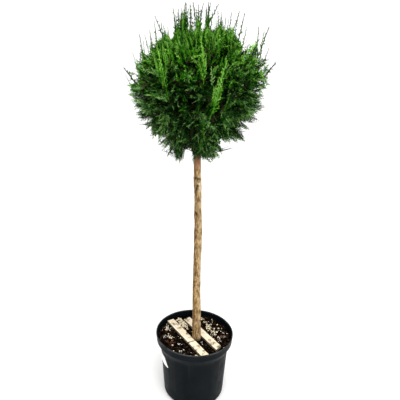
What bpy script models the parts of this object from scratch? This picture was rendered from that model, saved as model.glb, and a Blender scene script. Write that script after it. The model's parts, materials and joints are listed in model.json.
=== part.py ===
"""A potted standard Leyland cypress: a clear stem that carries a ball of foliage, in a round nursery pot.

Lengths are in metres and angles in degrees. +Z is up, the floor is z = 0 and the pot's axis is x = y = 0.
The front, which the photograph shows, faces -Y.
"""

import math
import random
from collections import namedtuple

import bmesh
import bpy
from mathutils import Matrix, Vector
from mathutils.geometry import intersect_point_line

GAP = 0.0003  # clearance between two pieces that meet
POT_SHARP_ANGLE = 40.0  # edges that turn by more than this stay sharp
TRUNK_SHARP_ANGLE = 50.0

# The pot: a moulded bucket with a deep collar under its rim
POT_HEIGHT = 0.250
RIM_RADIUS = 0.140
RIM_CHAMFER = 0.0015
COLLAR_RADIUS = 0.1375
COLLAR_BOTTOM = 0.222
COLLAR_LEDGE = 0.003
SHOULDER_RADIUS = 0.1225
SHOULDER_HEIGHT = 0.196
FOOT_RADIUS = 0.111
FOOT_ROUNDING = 0.012
WALL = 0.0025
FLOOR_THICKNESS = 0.003
POT_SIDES = 48
DRAIN_HOLES = 8
DRAIN_RADIUS = 0.006
DRAIN_CIRCLE = 0.086
DRAIN_SIDES = 8

# The compost fills the pot to a little below the rim
SOIL_LEVEL = 0.226
SOIL_CLEARANCE = 0.0006
SOIL_ROUGHNESS = 0.003
SOIL_LEVEL_MIDDLE = 0.040  # the trunk stands on level compost
SOIL_RINGS = 4

# Two wooden slats lie on the compost, one on each side of the trunk. The one in front has cracked across
SLAT_WIDTH = 0.028
SLAT_THICKNESS = 0.010
SLAT_OFFSET = 0.0311
SLAT_CHAMFER = 0.0008
FRONT_SLAT_ANGLE = -60.4
FRONT_SLAT_ENDS = (-0.1215, 0.1235)
CRACK_POSITION = 0.0325
CRACK_WIDTH = 0.0012
CRACK_SLANT = 0.003
BACK_SLAT_ANGLE = -59.6
BACK_SLAT_ENDS = (-0.100, 0.113)
BACK_SLAT_SLANT = 0.010

# A blank label wraps the pot's left side
LABEL_HEIGHT = 0.036
LABEL_BOTTOM = 0.142
LABEL_THICKNESS = 0.0005
LABEL_LAST_STEP = 29  # the label's front edge, counted in sides of the pot from +X
LABEL_STEPS = 6

# The trunk, from its flat cut on the compost to its tip inside the crown: height, x, y and radius
TRUNK_STATIONS = (
    (SOIL_LEVEL + GAP, 0.0072, -0.0137, 0.0163),
    (0.246, 0.0070, -0.0134, 0.0157),
    (0.345, 0.0054, -0.0105, 0.0150),
    (0.425, 0.0038, -0.0075, 0.0142),
    (0.500, 0.0038, -0.0050, 0.0132),
    (0.650, 0.0052, -0.0025, 0.0134),
    (0.735, 0.0024, -0.0015, 0.0120),
    (0.885, -0.0020, -0.0008, 0.0114),
    (1.010, -0.0050, 0.0000, 0.0088),
    (1.150, -0.0080, 0.0000, 0.0050),
)
TRUNK_SIDES = 12
TRUNK_RINGS = 23
RING_CROWDING = 1.25  # over 1 puts more rings at the foot
KNOTS = (0.645, 0.710, 0.808, 0.8355)  # heights where a side shoot was cut off and the trunk swells
KNOT_SWELL = 0.07
KNOT_SPREAD = 0.014

# The crown: the dense foliage reaches this far from its centre, and thin tips stand out above it
CROWN_CENTRE = Vector((-0.008, 0.0, 1.150))
CROWN_RADIUS = 0.212
CROWN_RISE = 0.158
CROWN_DROP = 0.272
TOP_SQUARENESS = 2.65  # 2 would round it like an ellipse, and less makes it more of a cone
BOTTOM_SQUARENESS = 1.56
LEAN_RIGHT = 0.15  # of the crown's top
SEED_DISTANCE = 0.130  # from the crown's centre to the point that a mass of foliage gathers round
CELL_GAP = 0.0012

# The masses of foliage stand in rings. A bough leaves the trunk at root_height and ends where its mass
# begins, bough_reach from the crown's centre towards the mass and bough_drop below that
Ring = namedtuple("Ring", "name count azimuth elevation root_height root_step bough_reach bough_drop radius")
RINGS = (
    Ring("upper", 5, -18.0, 38.0, 1.045, 0.012, 0.062, 0.014, 0.0042),
    Ring("side", 6, 10.0, 0.0, 0.970, 0.010, 0.068, 0.032, 0.0047),
    Ring("lower", 4, -65.0, -48.0, 0.894, 0.006, 0.087, 0.095, 0.0052),
)
TOP_SEED = 11
RING_SEED = 100  # each ring's seeds count on from the next multiple

BOUGH_SIDES = 6
BOUGH_SEGMENTS = 4
BOUGH_BEND = 0.38  # share of a bough's way out that lies before its bend, and of its climb in BOUGH_RISE
BOUGH_RISE = 0.55
BOUGH_TAPER = 0.62

# Inside a mass one stem goes on from the bough's tip
STEM_END = 0.60  # share of the crown's reach
STEM_STRAIGHT = 0.010
STEM_BEND = 0.40
STEM_SEGMENTS = 3
STEM_TAPER = 0.55

# The stem carries twigs, which end at places spread evenly over the crown
TWIG_SITES = 96
TWIG_REACH = 0.70  # share of the crown's reach
TWIG_RADIUS = 0.0021
TWIG_TAPER = (1.0, 0.9, 0.6)
TWIG_SIDES = 3
TWIG_ROOT = 0.55  # how far along the stem a twig leaves it, as a share of the way to the twig's end
TWIG_BEND = 0.35
LOWEST_SITE = -0.97
UPWARD_PULL = 0.90

# Each twig carries one spray at its end, some at its sides and often a slim leading shoot
SPRAY_LENGTH = 0.086
SPRAY_WIDTH = 0.037
SPRAY_REACH = 1.07  # share of the crown's reach that no spray's tip passes
SPRAY_RIDGE = 0.0020
SPRAY_CENTRE = 0.28
SPRAY_SPREAD = 44.0
SPRAY_TRIES = 4
SPRAY_WOBBLE = 0.5  # radians
SPRAY_SAMPLES = 6
TWIG_SAMPLES = 4
SHORTEST_SPRAY = 0.60
LENGTH_RANGE = (0.88, 1.10)
END_SPRAY_PLACE = 0.90  # along the twig's outer half
SIDE_SPRAYS = ((0.40, 0.90), (0.80, 0.95))  # place along the twig's outer half, and share of the full length
END_TEETH = ((0.44, 1.00), (0.41, 0.40), (0.74, 0.66), (0.70, 0.22))  # shares of the length and half width
SIDE_TEETH = ((0.54, 0.90), (0.50, 0.36))
SHOOT_LENGTH = 0.098
SHOOT_RADIUS = 0.0030
SHOOT_WIDEST = 0.12
SHOOT_UPRIGHT = 0.5
SHOOT_SHARE = 0.85
SHOOT_LOWEST = 0.10
LIMB_CLEARANCE = 0.0022

# The crowded inside of a mass is a lump that the sprays stand out of
CORE_PLACE = 0.50  # share of the crown's reach
CORE_REACH = (0.56, 0.63)
CORE_RADIUS = 0.070
CORE_CLEARANCE = 0.004
CORE_STEP = 0.003
CORE_PULL = 0.9
CORE_FACE_SAMPLES = 4

FUSE_TRIES = 8
WELD = 2e-7


def clear_scene():
    """Remove the objects that Blender starts with."""
    for obj in list(bpy.data.objects):
        bpy.data.objects.remove(obj)


def make_material(name, colour, roughness, metallic=0.0):
    """A Principled material of one colour."""
    material = bpy.data.materials.new(name)
    material.use_nodes = True
    shader = material.node_tree.nodes["Principled BSDF"]
    shader.inputs["Base Color"].default_value = (*colour, 1.0)
    shader.inputs["Roughness"].default_value = roughness
    shader.inputs["Metallic"].default_value = metallic
    return material


def add_object(name, mesh, material=None, collection=None):
    """Link an object that holds the mesh."""
    obj = bpy.data.objects.new(name, mesh)
    (collection or bpy.context.scene.collection).objects.link(obj)
    if material is not None:
        mesh.materials.append(material)
    return obj


def mesh_of(name, points, faces):
    """A mesh from points and faces that already face outwards."""
    mesh = bpy.data.meshes.new(name)
    mesh.from_pydata([tuple(point) for point in points], [], faces)
    mesh.update()
    return mesh


def lathe(name, profile, sides, height_at=None):
    """Turn a profile that begins and ends on the axis. height_at can shift a point's height by its place."""
    points = []
    rings = []
    for radius, height in profile:
        count = sides if radius > 0 else 1
        rings.append(range(len(points), len(points) + count))
        for step in range(count):
            angle = math.tau * step / sides
            x = radius * math.cos(angle)
            y = radius * math.sin(angle)
            shift = height_at(x, y, height) if height_at else 0.0
            points.append((x, y, height + shift))
    faces = []
    for low, high in zip(rings, rings[1:]):
        for step in range(sides):
            corners = [
                low[step % len(low)],
                low[(step + 1) % len(low)],
                high[(step + 1) % len(high)],
                high[step % len(high)],
            ]
            faces.append(tuple(dict.fromkeys(corners)))
    mesh = mesh_of(name, points, faces)
    mesh.shade_smooth()
    mesh.set_sharp_from_angle(angle=math.radians(POT_SHARP_ANGLE))
    return mesh


def ring_faces(segments, sides):
    """Faces of a closed limb whose points are rings of equal size, one above the other."""
    faces = [tuple(reversed(range(sides)))]
    for ring in range(segments):
        for step in range(sides):
            here = ring * sides + step
            beside = ring * sides + (step + 1) % sides
            faces.append((here, beside, beside + sides, here + sides))
    faces.append(tuple(range(segments * sides, (segments + 1) * sides)))
    return faces


def limb_mesh(name, path, radii, sides):
    """A closed tapering limb round a path, with flat ends."""
    side = Vector((1.0, 0.0, 0.0))
    points = []
    for index, centre in enumerate(path):
        ahead = path[min(index + 1, len(path) - 1)]
        behind = path[max(index - 1, 0)]
        along = (ahead - behind).normalized()
        side = (side - along * side.dot(along)).normalized()
        across = along.cross(side)
        for step in range(sides):
            angle = math.tau * step / sides
            points.append(centre + (side * math.cos(angle) + across * math.sin(angle)) * radii[index])
    return mesh_of(name, points, ring_faces(len(path) - 1, sides))


def curve_points(start, bend, end, segments):
    """Points of a quadratic curve."""
    shares = [step / segments for step in range(segments + 1)]
    return [start * (1 - s) ** 2 + bend * 2 * s * (1 - s) + end * s**2 for s in shares]


def add_boolean(obj, operation, cutter):
    """Cut obj with another object, which stays in the scene as a hidden helper."""
    modifier = obj.modifiers.new(operation.title(), "BOOLEAN")
    modifier.operation = operation
    modifier.solver = "EXACT"
    modifier.object = cutter
    cutter.hide_render = True
    cutter.display_type = "WIRE"


# The pot and what lies in it


def inner_radius(height):
    """The radius of the pot's inner wall at a height."""
    wall = (
        (FOOT_ROUNDING, FOOT_RADIUS - WALL),
        (SHOULDER_HEIGHT, SHOULDER_RADIUS - WALL),
        (COLLAR_BOTTOM, COLLAR_RADIUS - WALL),
        (POT_HEIGHT, RIM_RADIUS - WALL),
    )
    for (low, low_radius), (high, high_radius) in zip(wall, wall[1:]):
        if height <= high:
            share = (height - low) / (high - low)
            return low_radius + (high_radius - low_radius) * share
    return wall[-1][1]


def make_drain_cutter():
    """Upright pegs that pierce the pot's floor."""
    shape = bmesh.new()
    for hole in range(DRAIN_HOLES):
        angle = math.tau * (hole + 0.5) / DRAIN_HOLES
        place = Matrix.Translation((DRAIN_CIRCLE * math.cos(angle), DRAIN_CIRCLE * math.sin(angle), 0.0))
        bmesh.ops.create_cone(
            shape,
            cap_ends=True,
            segments=DRAIN_SIDES,
            radius1=DRAIN_RADIUS,
            radius2=DRAIN_RADIUS,
            depth=4 * FLOOR_THICKNESS,
            matrix=place,
        )
    mesh = bpy.data.meshes.new("drain_cutter")
    shape.to_mesh(mesh)
    shape.free()
    return add_object("drain_cutter", mesh)


def make_pot(material):
    """The pot's wall and floor, turned in one piece and pierced for drainage."""
    outer = [(0.0, 0.0), (FOOT_RADIUS - FOOT_ROUNDING, 0.0)]
    for degrees in (-60.0, -30.0, 0.0):
        angle = math.radians(degrees)
        outer.append(
            (
                FOOT_RADIUS - FOOT_ROUNDING * (1 - math.cos(angle)),
                FOOT_ROUNDING * (1 + math.sin(angle)),
            )
        )
    outer += [
        (SHOULDER_RADIUS, SHOULDER_HEIGHT),
        (COLLAR_RADIUS - COLLAR_LEDGE, COLLAR_BOTTOM),
        (COLLAR_RADIUS, COLLAR_BOTTOM),
        (RIM_RADIUS, POT_HEIGHT - RIM_CHAMFER),
        (RIM_RADIUS - RIM_CHAMFER, POT_HEIGHT),
    ]
    inner = [
        (RIM_RADIUS - WALL, POT_HEIGHT),
        (COLLAR_RADIUS - WALL, COLLAR_BOTTOM),
        (SHOULDER_RADIUS - WALL, SHOULDER_HEIGHT),
        (FOOT_RADIUS - WALL, FOOT_ROUNDING),
        (FOOT_RADIUS - FOOT_ROUNDING, FLOOR_THICKNESS),
        (0.0, FLOOR_THICKNESS),
    ]
    pot = add_object("pot", lathe("pot", outer + inner, POT_SIDES), material)
    add_boolean(pot, "DIFFERENCE", make_drain_cutter())


def soil_dip(x, y, height):
    """How far the compost's uneven top lies below its level. It is level near the middle."""
    if height < SOIL_LEVEL or math.hypot(x, y) < SOIL_LEVEL_MIDDLE:
        return 0.0
    broad_wave = math.sin(61 * x + 2) * math.sin(83 * y + 1)
    fine_wave = math.sin(140 * x - 90 * y)
    return -SOIL_ROUGHNESS * (2 + broad_wave + fine_wave) / 4


def make_soil(material):
    """The compost, one solid that fills the pot and whose uneven top lies just under the slats."""
    low = FLOOR_THICKNESS + GAP
    profile = [
        (0.0, low),
        (FOOT_RADIUS - FOOT_ROUNDING - SOIL_CLEARANCE, low),
        (inner_radius(FOOT_ROUNDING) - SOIL_CLEARANCE, FOOT_ROUNDING + SOIL_CLEARANCE),
        (inner_radius(SHOULDER_HEIGHT) - SOIL_CLEARANCE, SHOULDER_HEIGHT),
    ]
    edge = inner_radius(SOIL_LEVEL - SOIL_ROUGHNESS) - SOIL_CLEARANCE
    profile += [(edge * (SOIL_RINGS - ring) / SOIL_RINGS, SOIL_LEVEL) for ring in range(SOIL_RINGS + 1)]
    add_object("soil", lathe("soil", profile, POT_SIDES, soil_dip), material)


def make_slat(name, outline, offset, angle, material):
    """A length of sawn wood lying on the compost. The outline runs along and across the slat."""
    count = len(outline)
    points = [(along, across, 0.0) for along, across in outline]
    points += [(along, across, SLAT_THICKNESS) for along, across in outline]
    faces = [tuple(reversed(range(count))), tuple(range(count, 2 * count))]
    for corner in range(count):
        beside = (corner + 1) % count
        faces.append((corner, beside, beside + count, corner + count))
    slat = add_object(name, mesh_of(name, points, faces), material)
    turn = Matrix.Rotation(math.radians(angle), 4, "Z")
    slat.rotation_euler = (0.0, 0.0, math.radians(angle))
    slat.location = turn @ Vector((0.0, offset, 0.0)) + Vector((0.0, 0.0, SOIL_LEVEL + GAP))
    bevel = slat.modifiers.new("Sawn edges", "BEVEL")
    bevel.width = SLAT_CHAMFER
    bevel.segments = 1


def make_slats(material):
    """The whole slat behind the trunk, and the two lengths of the cracked one in front."""
    half = SLAT_WIDTH / 2
    start, end = FRONT_SLAT_ENDS
    crack_near = CRACK_POSITION - CRACK_WIDTH / 2
    crack_far = CRACK_POSITION + CRACK_WIDTH / 2
    long_part = (
        (start, -half),
        (crack_near - CRACK_SLANT, -half),
        (crack_near, half),
        (start, half),
    )
    short_part = (
        (crack_far - CRACK_SLANT, -half),
        (end, -half),
        (end, half),
        (crack_far, half),
    )
    start, end = BACK_SLAT_ENDS
    whole = ((start, -half), (end, -half), (end - BACK_SLAT_SLANT, half), (start, half))
    make_slat("slat_front_long", long_part, -SLAT_OFFSET, FRONT_SLAT_ANGLE, material)
    make_slat("slat_front_short", short_part, -SLAT_OFFSET, FRONT_SLAT_ANGLE, material)
    make_slat("slat_back", whole, SLAT_OFFSET, BACK_SLAT_ANGLE, material)


def make_label(material):
    """A thin blank label that follows the sides of the pot's body."""
    slope = (SHOULDER_RADIUS - FOOT_RADIUS) / (SHOULDER_HEIGHT - FOOT_ROUNDING)
    points = []
    for step in range(LABEL_LAST_STEP - LABEL_STEPS, LABEL_LAST_STEP + 1):
        angle = math.tau * step / POT_SIDES
        for height in (LABEL_BOTTOM, LABEL_BOTTOM + LABEL_HEIGHT):
            wall = FOOT_RADIUS + slope * (height - FOOT_ROUNDING)
            for radius in (wall + GAP, wall + GAP + LABEL_THICKNESS):
                points.append((radius * math.cos(angle), radius * math.sin(angle), height))
    faces = [(0, 1, 3, 2)]
    for step in range(LABEL_STEPS):
        low_in, low_out, high_in, high_out = range(4 * step, 4 * step + 4)
        faces += [
            (low_out, low_out + 4, high_out + 4, high_out),
            (high_out, high_out + 4, high_in + 4, high_in),
            (high_in, high_in + 4, low_in + 4, low_in),
            (low_in, low_in + 4, low_out + 4, low_out),
        ]
    last = 4 * LABEL_STEPS
    faces.append((last + 2, last + 3, last + 1, last))
    add_object("label", mesh_of("label", points, faces), material)


# Trunk and boughs


def trunk_at(height):
    """The trunk's centre and radius at a height, eased from one station to the next."""
    stations = TRUNK_STATIONS
    height = min(max(height, stations[0][0]), stations[-1][0])
    for low, high in zip(stations, stations[1:]):
        if height <= high[0]:
            share = (height - low[0]) / (high[0] - low[0])
            eased = share * share * (3 - 2 * share)
            x, y, radius = (a + (b - a) * eased for a, b in zip(low[1:], high[1:]))
            return Vector((x, y, height)), radius
    raise ValueError(height)


def knot_swell(height):
    """The share by which old cuts swell the trunk at a height."""
    return KNOT_SWELL * sum(math.exp(-(((height - knot) / KNOT_SPREAD) ** 2)) for knot in KNOTS)


def trunk_mesh(name, growth):
    """Level rings from the cut on the compost to the tip, closer together at the flared foot."""
    low, high = TRUNK_STATIONS[0][0], TRUNK_STATIONS[-1][0]
    points = []
    for ring in range(TRUNK_RINGS + 1):
        centre, radius = trunk_at(low + (high - low) * (ring / TRUNK_RINGS) ** RING_CROWDING)
        radius = (radius + growth) * (1 + knot_swell(centre.z))
        for step in range(TRUNK_SIDES):
            angle = math.tau * step / TRUNK_SIDES
            points.append(centre + Vector((math.cos(angle), math.sin(angle), 0.0)) * radius)
    return mesh_of(name, points, ring_faces(TRUNK_RINGS, TRUNK_SIDES))


def make_trunk(material):
    """The whole trunk, and a slightly fatter hidden copy that shapes the foot of each bough."""
    trunk = add_object("trunk", trunk_mesh("trunk", 0.0), material)
    trunk.data.shade_smooth()
    trunk.data.set_sharp_from_angle(angle=math.radians(TRUNK_SHARP_ANGLE))
    return add_object("trunk_cutter", trunk_mesh("trunk_cutter", GAP))


def unit(azimuth, elevation):
    """A direction from two angles. Azimuth 0 is +X, and -90 is the front."""
    around, above = math.radians(azimuth), math.radians(elevation)
    flat = math.cos(above)
    return Vector((flat * math.cos(around), flat * math.sin(around), math.sin(above)))


def bough_path(ring, number, heading):
    """A bough climbs steeply from the trunk and bends outwards to where its mass begins."""
    root, _ = trunk_at(ring.root_height + ring.root_step * ((2 * number) % ring.count))
    tip = CROWN_CENTRE + heading * ring.bough_reach - Vector((0.0, 0.0, ring.bough_drop))
    bend = root.lerp(tip, BOUGH_BEND)
    bend.z = root.z + (tip.z - root.z) * BOUGH_RISE
    return curve_points(root, bend, tip, BOUGH_SEGMENTS)


class Mass:
    """One mass of foliage: its name, the direction it faces, where its stem starts, and its bough."""

    def __init__(self, label, heading, seed, stem_start, stem_heading, stem_radius, bough=None):
        self.name = "foliage_" + label
        self.heading = heading
        self.seed = seed
        self.middle = CROWN_CENTRE + heading * SEED_DISTANCE
        self.stem_start = stem_start
        self.stem_heading = stem_heading
        self.stem_radius = stem_radius
        self.bough = bough
        self.bough_name = "bough_" + label


def plan_masses():
    """The top mass stands on the trunk's tip, and every other one on a bough of its own."""
    up = Vector((0.0, 0.0, 1.0))
    tip, tip_radius = trunk_at(TRUNK_STATIONS[-1][0])
    masses = [Mass("top", up, TOP_SEED, tip + up * GAP, up, tip_radius)]
    for row, ring in enumerate(RINGS):
        for number in range(ring.count):
            heading = unit(ring.azimuth + 360.0 * number / ring.count, ring.elevation)
            path = bough_path(ring, number, heading)
            onward = (path[-1] - path[-2]).normalized()
            masses.append(
                Mass(
                    f"{ring.name}_{number + 1}",
                    heading,
                    RING_SEED * (row + 1) + number,
                    path[-1] + onward * GAP,
                    onward,
                    ring.radius * BOUGH_TAPER,
                    (path, ring.radius),
                )
            )
    return masses


def make_boughs(masses, cutter, material):
    """Each bough is cut by the fatter trunk, so that its foot fits the bark."""
    for mass in masses:
        if mass.bough is None:
            continue
        path, radius = mass.bough
        tapers = [1 - (1 - BOUGH_TAPER) * step / BOUGH_SEGMENTS for step in range(BOUGH_SEGMENTS + 1)]
        mesh = limb_mesh(mass.bough_name, path, [radius * taper for taper in tapers], BOUGH_SIDES)
        add_boolean(add_object(mass.bough_name, mesh, material), "DIFFERENCE", cutter)


# Foliage


def dense_reach(heading):
    """How far the dense foliage reaches from the crown's centre in a direction."""
    tall, power = (CROWN_RISE, TOP_SQUARENESS) if heading.z > 0 else (CROWN_DROP, BOTTOM_SQUARENESS)
    flat = math.hypot(heading.x, heading.y)
    round_reach = ((flat / CROWN_RADIUS) ** power + (abs(heading.z) / tall) ** power) ** (-1 / power)
    return round_reach * (1 + LEAN_RIGHT * heading.x * max(0.0, heading.z))


def growth_heading(heading):
    """Sprays point outwards and up, more so near the top of the crown."""
    lift = UPWARD_PULL * (1 + heading.z)
    return (heading + Vector((0.0, 0.0, lift))).normalized()


def in_cell(point, mass, masses):
    """True where the point is nearer to this mass's middle than to any other's, clear of the border."""
    for other in masses:
        if other is mass:
            continue
        across = other.middle - mass.middle
        halfway = (other.middle + mass.middle) / 2
        if (point - halfway).dot(across.normalized()) > -CELL_GAP / 2:
            return False
    return True


def limb_distance(point, limb):
    """Distance from a point to a limb's bark."""
    path, radius = limb
    nearest = math.inf
    for start, end in zip(path, path[1:]):
        foot, share = intersect_point_line(point, start, end)
        if share < 0:
            foot = start
        elif share > 1:
            foot = end
        nearest = min(nearest, (point - foot).length)
    return nearest - radius


class Space:
    """The room that one mass keeps to: its own cell, clear of the trunk and of every bough."""

    def __init__(self, mass, masses):
        self.mass = mass
        self.masses = masses
        stations = [trunk_at(height) for height, *_ in TRUNK_STATIONS[-4:]]
        self.limbs = []
        for (low, low_radius), (high, _) in zip(stations, stations[1:]):
            self.limbs.append(([low, high], low_radius))
        self.limbs += [other.bough for other in masses if other.bough]

    def holds(self, points, clearance=LIMB_CLEARANCE):
        """True if every point is in the cell and clear of the limbs."""
        for point in points:
            if not in_cell(point, self.mass, self.masses):
                return False
            if any(limb_distance(point, limb) < clearance for limb in self.limbs):
                return False
        return True


def between(start, end, count):
    """Points spread evenly from start to end."""
    return [start.lerp(end, step / count) for step in range(count + 1)]


def frame_round(along, roll):
    """Two directions at right angles to along, turned about it by roll."""
    across = along.orthogonal().normalized()
    turned = Matrix.Rotation(roll, 3, along) @ across
    return turned, along.cross(turned)


def spray_mesh(root, along, roll, length, teeth):
    """A flat spray of needles: a toothed blade with a low ridge on both faces."""
    side, normal = frame_round(along, roll)
    half = SPRAY_WIDTH / 2 * length / SPRAY_LENGTH
    right = [root + along * length * u + side * half * w for u, w in teeth]
    left = [root + along * length * u - side * half * w for u, w in teeth]
    outline = [root, *right, root + along * length, *reversed(left)]
    centre = root + along * length * SPRAY_CENTRE
    apexes = [centre - normal * SPRAY_RIDGE, centre + normal * SPRAY_RIDGE]
    count = len(outline)
    faces = []
    for corner in range(count):
        beside = (corner + 1) % count
        faces.append((corner, beside, count))
        faces.append((beside, corner, count + 1))
    return outline + apexes, faces


def shoot_mesh(root, along, roll, length):
    """A slim leading shoot with four sides."""
    side, normal = frame_round(along, roll)
    widest = root + along * length * SHOOT_WIDEST
    ring = [widest + offset * SHOOT_RADIUS for offset in (side, normal, -side, -normal)]
    points = [root, *ring, root + along * length]
    faces = []
    for corner in range(4):
        here, beside = 1 + corner, 1 + (corner + 1) % 4
        faces.append((0, beside, here))
        faces.append((5, here, beside))
    return points, faces


def lattice(count):
    """Directions spread evenly over a sphere."""
    golden = math.pi * (3 - math.sqrt(5))
    for index in range(count):
        height = 1 - 2 * (index + 0.5) / count
        flat = math.sqrt(1 - height * height)
        angle = golden * index
        yield Vector((flat * math.cos(angle), flat * math.sin(angle), height))


def sites_of(mass, masses):
    """The twig sites, of those spread over the crown, that fall in this mass's cell."""
    found = []
    for heading in lattice(TWIG_SITES):
        place = CROWN_CENTRE + heading * dense_reach(heading) * TWIG_REACH
        if heading.z > LOWEST_SITE and in_cell(place, mass, masses):
            found.append((heading, place))
    return found


def stem_path(mass):
    """The stem goes straight on from the bough's tip, then bends and ends deep in the mass."""
    end = CROWN_CENTRE + mass.heading * dense_reach(mass.heading) * STEM_END
    start = mass.stem_start + mass.stem_heading * STEM_STRAIGHT
    bend = start + mass.stem_heading * (end - start).length * STEM_BEND
    return [mass.stem_start, *curve_points(start, bend, end, STEM_SEGMENTS)]


def twig_path(stem, place, heading):
    """A twig leaves the stem at an acute angle and turns to grow outwards and up."""
    steps = [point for start, end in zip(stem[1:], stem[2:]) for point in between(start, end, TWIG_SAMPLES)]
    onward = (stem[-1] - stem[0]).normalized()
    wanted = (place - stem[0]).dot(onward) * TWIG_ROOT
    root = min(steps, key=lambda point: abs((point - stem[0]).dot(onward) - wanted))
    bend = place - growth_heading(heading) * (place - root).length * TWIG_BEND
    return curve_points(root, bend, place, 2)


def points_across(corners, steps):
    """Points spread over a triangle."""
    for first in range(steps + 1):
        for second in range(steps + 1 - first):
            third = steps - first - second
            yield (corners[0] * first + corners[1] * second + corners[2] * third) / steps


def pull_in(shape, centre, space):
    """Draw the faces that come too near a limb back to the centre, until none does."""
    crossed = True
    while crossed:
        crossed = set()
        for face in shape.faces:
            samples = points_across([vertex.co for vertex in face.verts], CORE_FACE_SAMPLES)
            if not space.holds(samples, CORE_CLEARANCE / 2):
                crossed.update(face.verts)
        for vertex in crossed:
            vertex.co = centre.lerp(vertex.co, CORE_PULL)


def core_mesh(mass, space, rng):
    """The crowded inside of the mass: a lump swollen out to the bounds of its space."""
    centre = CROWN_CENTRE + mass.heading * dense_reach(mass.heading) * CORE_PLACE
    shape = bmesh.new()
    bmesh.ops.create_icosphere(shape, subdivisions=2, radius=1.0)
    for vertex in shape.verts:
        step = vertex.co.normalized() * CORE_STEP
        skin = rng.uniform(*CORE_REACH)
        vertex.co = centre
        for _ in range(round(CORE_RADIUS / CORE_STEP)):
            further = vertex.co + step
            out = further - CROWN_CENTRE
            if out.length > skin * dense_reach(out.normalized()):
                break
            if not space.holds([further], CORE_CLEARANCE):
                break
            vertex.co = further
    pull_in(shape, centre, space)
    mesh = bpy.data.meshes.new("core")
    shape.to_mesh(mesh)
    shape.free()
    return mesh


def grow_mass(mass, masses):
    """The stem's mesh, and those of all that is fused to it."""
    rng = random.Random(mass.seed)
    space = Space(mass, masses)
    stem = stem_path(mass)
    tapers = [1 - (1 - STEM_TAPER) * step / (len(stem) - 1) for step in range(len(stem))]
    stem_mesh = limb_mesh(mass.name, stem, [mass.stem_radius * taper for taper in tapers], BOUGH_SIDES)
    parts = [core_mesh(mass, space, rng)]
    for heading, place in sites_of(mass, masses):
        twig = twig_path(stem, place, heading)
        steps = [*between(*twig[:2], TWIG_SAMPLES), *between(*twig[1:], TWIG_SAMPLES)]
        if not space.holds(steps, TWIG_RADIUS + LIMB_CLEARANCE):
            continue
        parts.append(limb_mesh("twig", twig, [TWIG_RADIUS * taper for taper in TWIG_TAPER], TWIG_SIDES))
        parts += grow_sprays(twig, heading, space, rng)
    return stem_mesh, parts


def within_reach(tip):
    """True where a spray's tip isn't beyond the crown."""
    out = tip - CROWN_CENTRE
    return out.length < SPRAY_REACH * dense_reach(out.normalized())


def fit_spray(root, along, heading, length, teeth, space, rng):
    """A spray, turned outwards and shortened little by little until it fits the space."""
    for attempt in range(SPRAY_TRIES):
        ease = attempt / SPRAY_TRIES
        aim = along.lerp(heading, ease).normalized()
        reach = length * (1 - (1 - SHORTEST_SPRAY) * ease)
        points, faces = spray_mesh(root, aim, rng.uniform(0, math.tau), reach, teeth)
        tip = root + aim * reach
        if within_reach(tip) and space.holds([*points[1:], *between(root, tip, SPRAY_SAMPLES)[1:]]):
            return [mesh_of("spray", points, faces)]
    return []


def grow_sprays(twig, heading, space, rng):
    """The sprays and the leading shoot of one twig, leaving out what doesn't fit."""
    _, middle, end = twig
    onward = growth_heading(heading)
    roll = rng.uniform(0, math.tau)
    spread = math.radians(SPRAY_SPREAD)
    length = SPRAY_LENGTH * rng.uniform(*LENGTH_RANGE)
    parts = fit_spray(middle.lerp(end, END_SPRAY_PLACE), onward, heading, length, END_TEETH, space, rng)
    for turn, (place, share) in enumerate(SIDE_SPRAYS):
        wobble = rng.uniform(-SPRAY_WOBBLE, SPRAY_WOBBLE)
        side, _ = frame_round(onward, roll + math.tau * turn / len(SIDE_SPRAYS) + wobble)
        along = onward * math.cos(spread) + side * math.sin(spread)
        length = SPRAY_LENGTH * share * rng.uniform(*LENGTH_RANGE)
        parts += fit_spray(middle.lerp(end, place), along, heading, length, SIDE_TEETH, space, rng)
    if heading.z > SHOOT_LOWEST and rng.random() < SHOOT_SHARE:
        upward = (onward + Vector((0.0, 0.0, SHOOT_UPRIGHT))).normalized()
        points, faces = shoot_mesh(end, upward, roll, SHOOT_LENGTH * rng.uniform(*LENGTH_RANGE))
        if space.holds(points):
            parts.append(mesh_of("shoot", points, faces))
    return parts


def body_volume(faces):
    """Signed volume of a closed body from its faces."""
    total = 0.0
    for face in faces:
        corners = [vertex.co for vertex in face.verts]
        for first, second in zip(corners[1:], corners[2:]):
            total += corners[0].dot(first.cross(second)) / 6
    return total


def keep_main_body(mesh):
    """Drop loose scraps and the walls of sealed hollows. Return the places where the rest isn't closed."""
    shape = bmesh.new()
    shape.from_mesh(mesh)
    bmesh.ops.triangulate(shape, faces=shape.faces)
    waiting = set(shape.faces)
    bodies = []
    while waiting:
        body = []
        front = [waiting.pop()]
        while front:
            face = front.pop()
            body.append(face)
            for edge in face.edges:
                near = [other for other in edge.link_faces if other in waiting]
                waiting.difference_update(near)
                front += near
        bodies.append(body)
    bodies.sort(key=body_volume, reverse=True)
    scraps = [face for body in bodies[1:] for face in body]
    bmesh.ops.delete(shape, geom=scraps, context="FACES")
    bmesh.ops.remove_doubles(shape, verts=shape.verts, dist=WELD)
    bmesh.ops.dissolve_degenerate(shape, edges=shape.edges, dist=WELD)
    bmesh.ops.triangulate(shape, faces=shape.faces)
    faults = [edge.verts[0].co.copy() for edge in shape.edges if len(edge.link_faces) != 2]
    shape.to_mesh(mesh)
    shape.free()
    return faults


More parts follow.
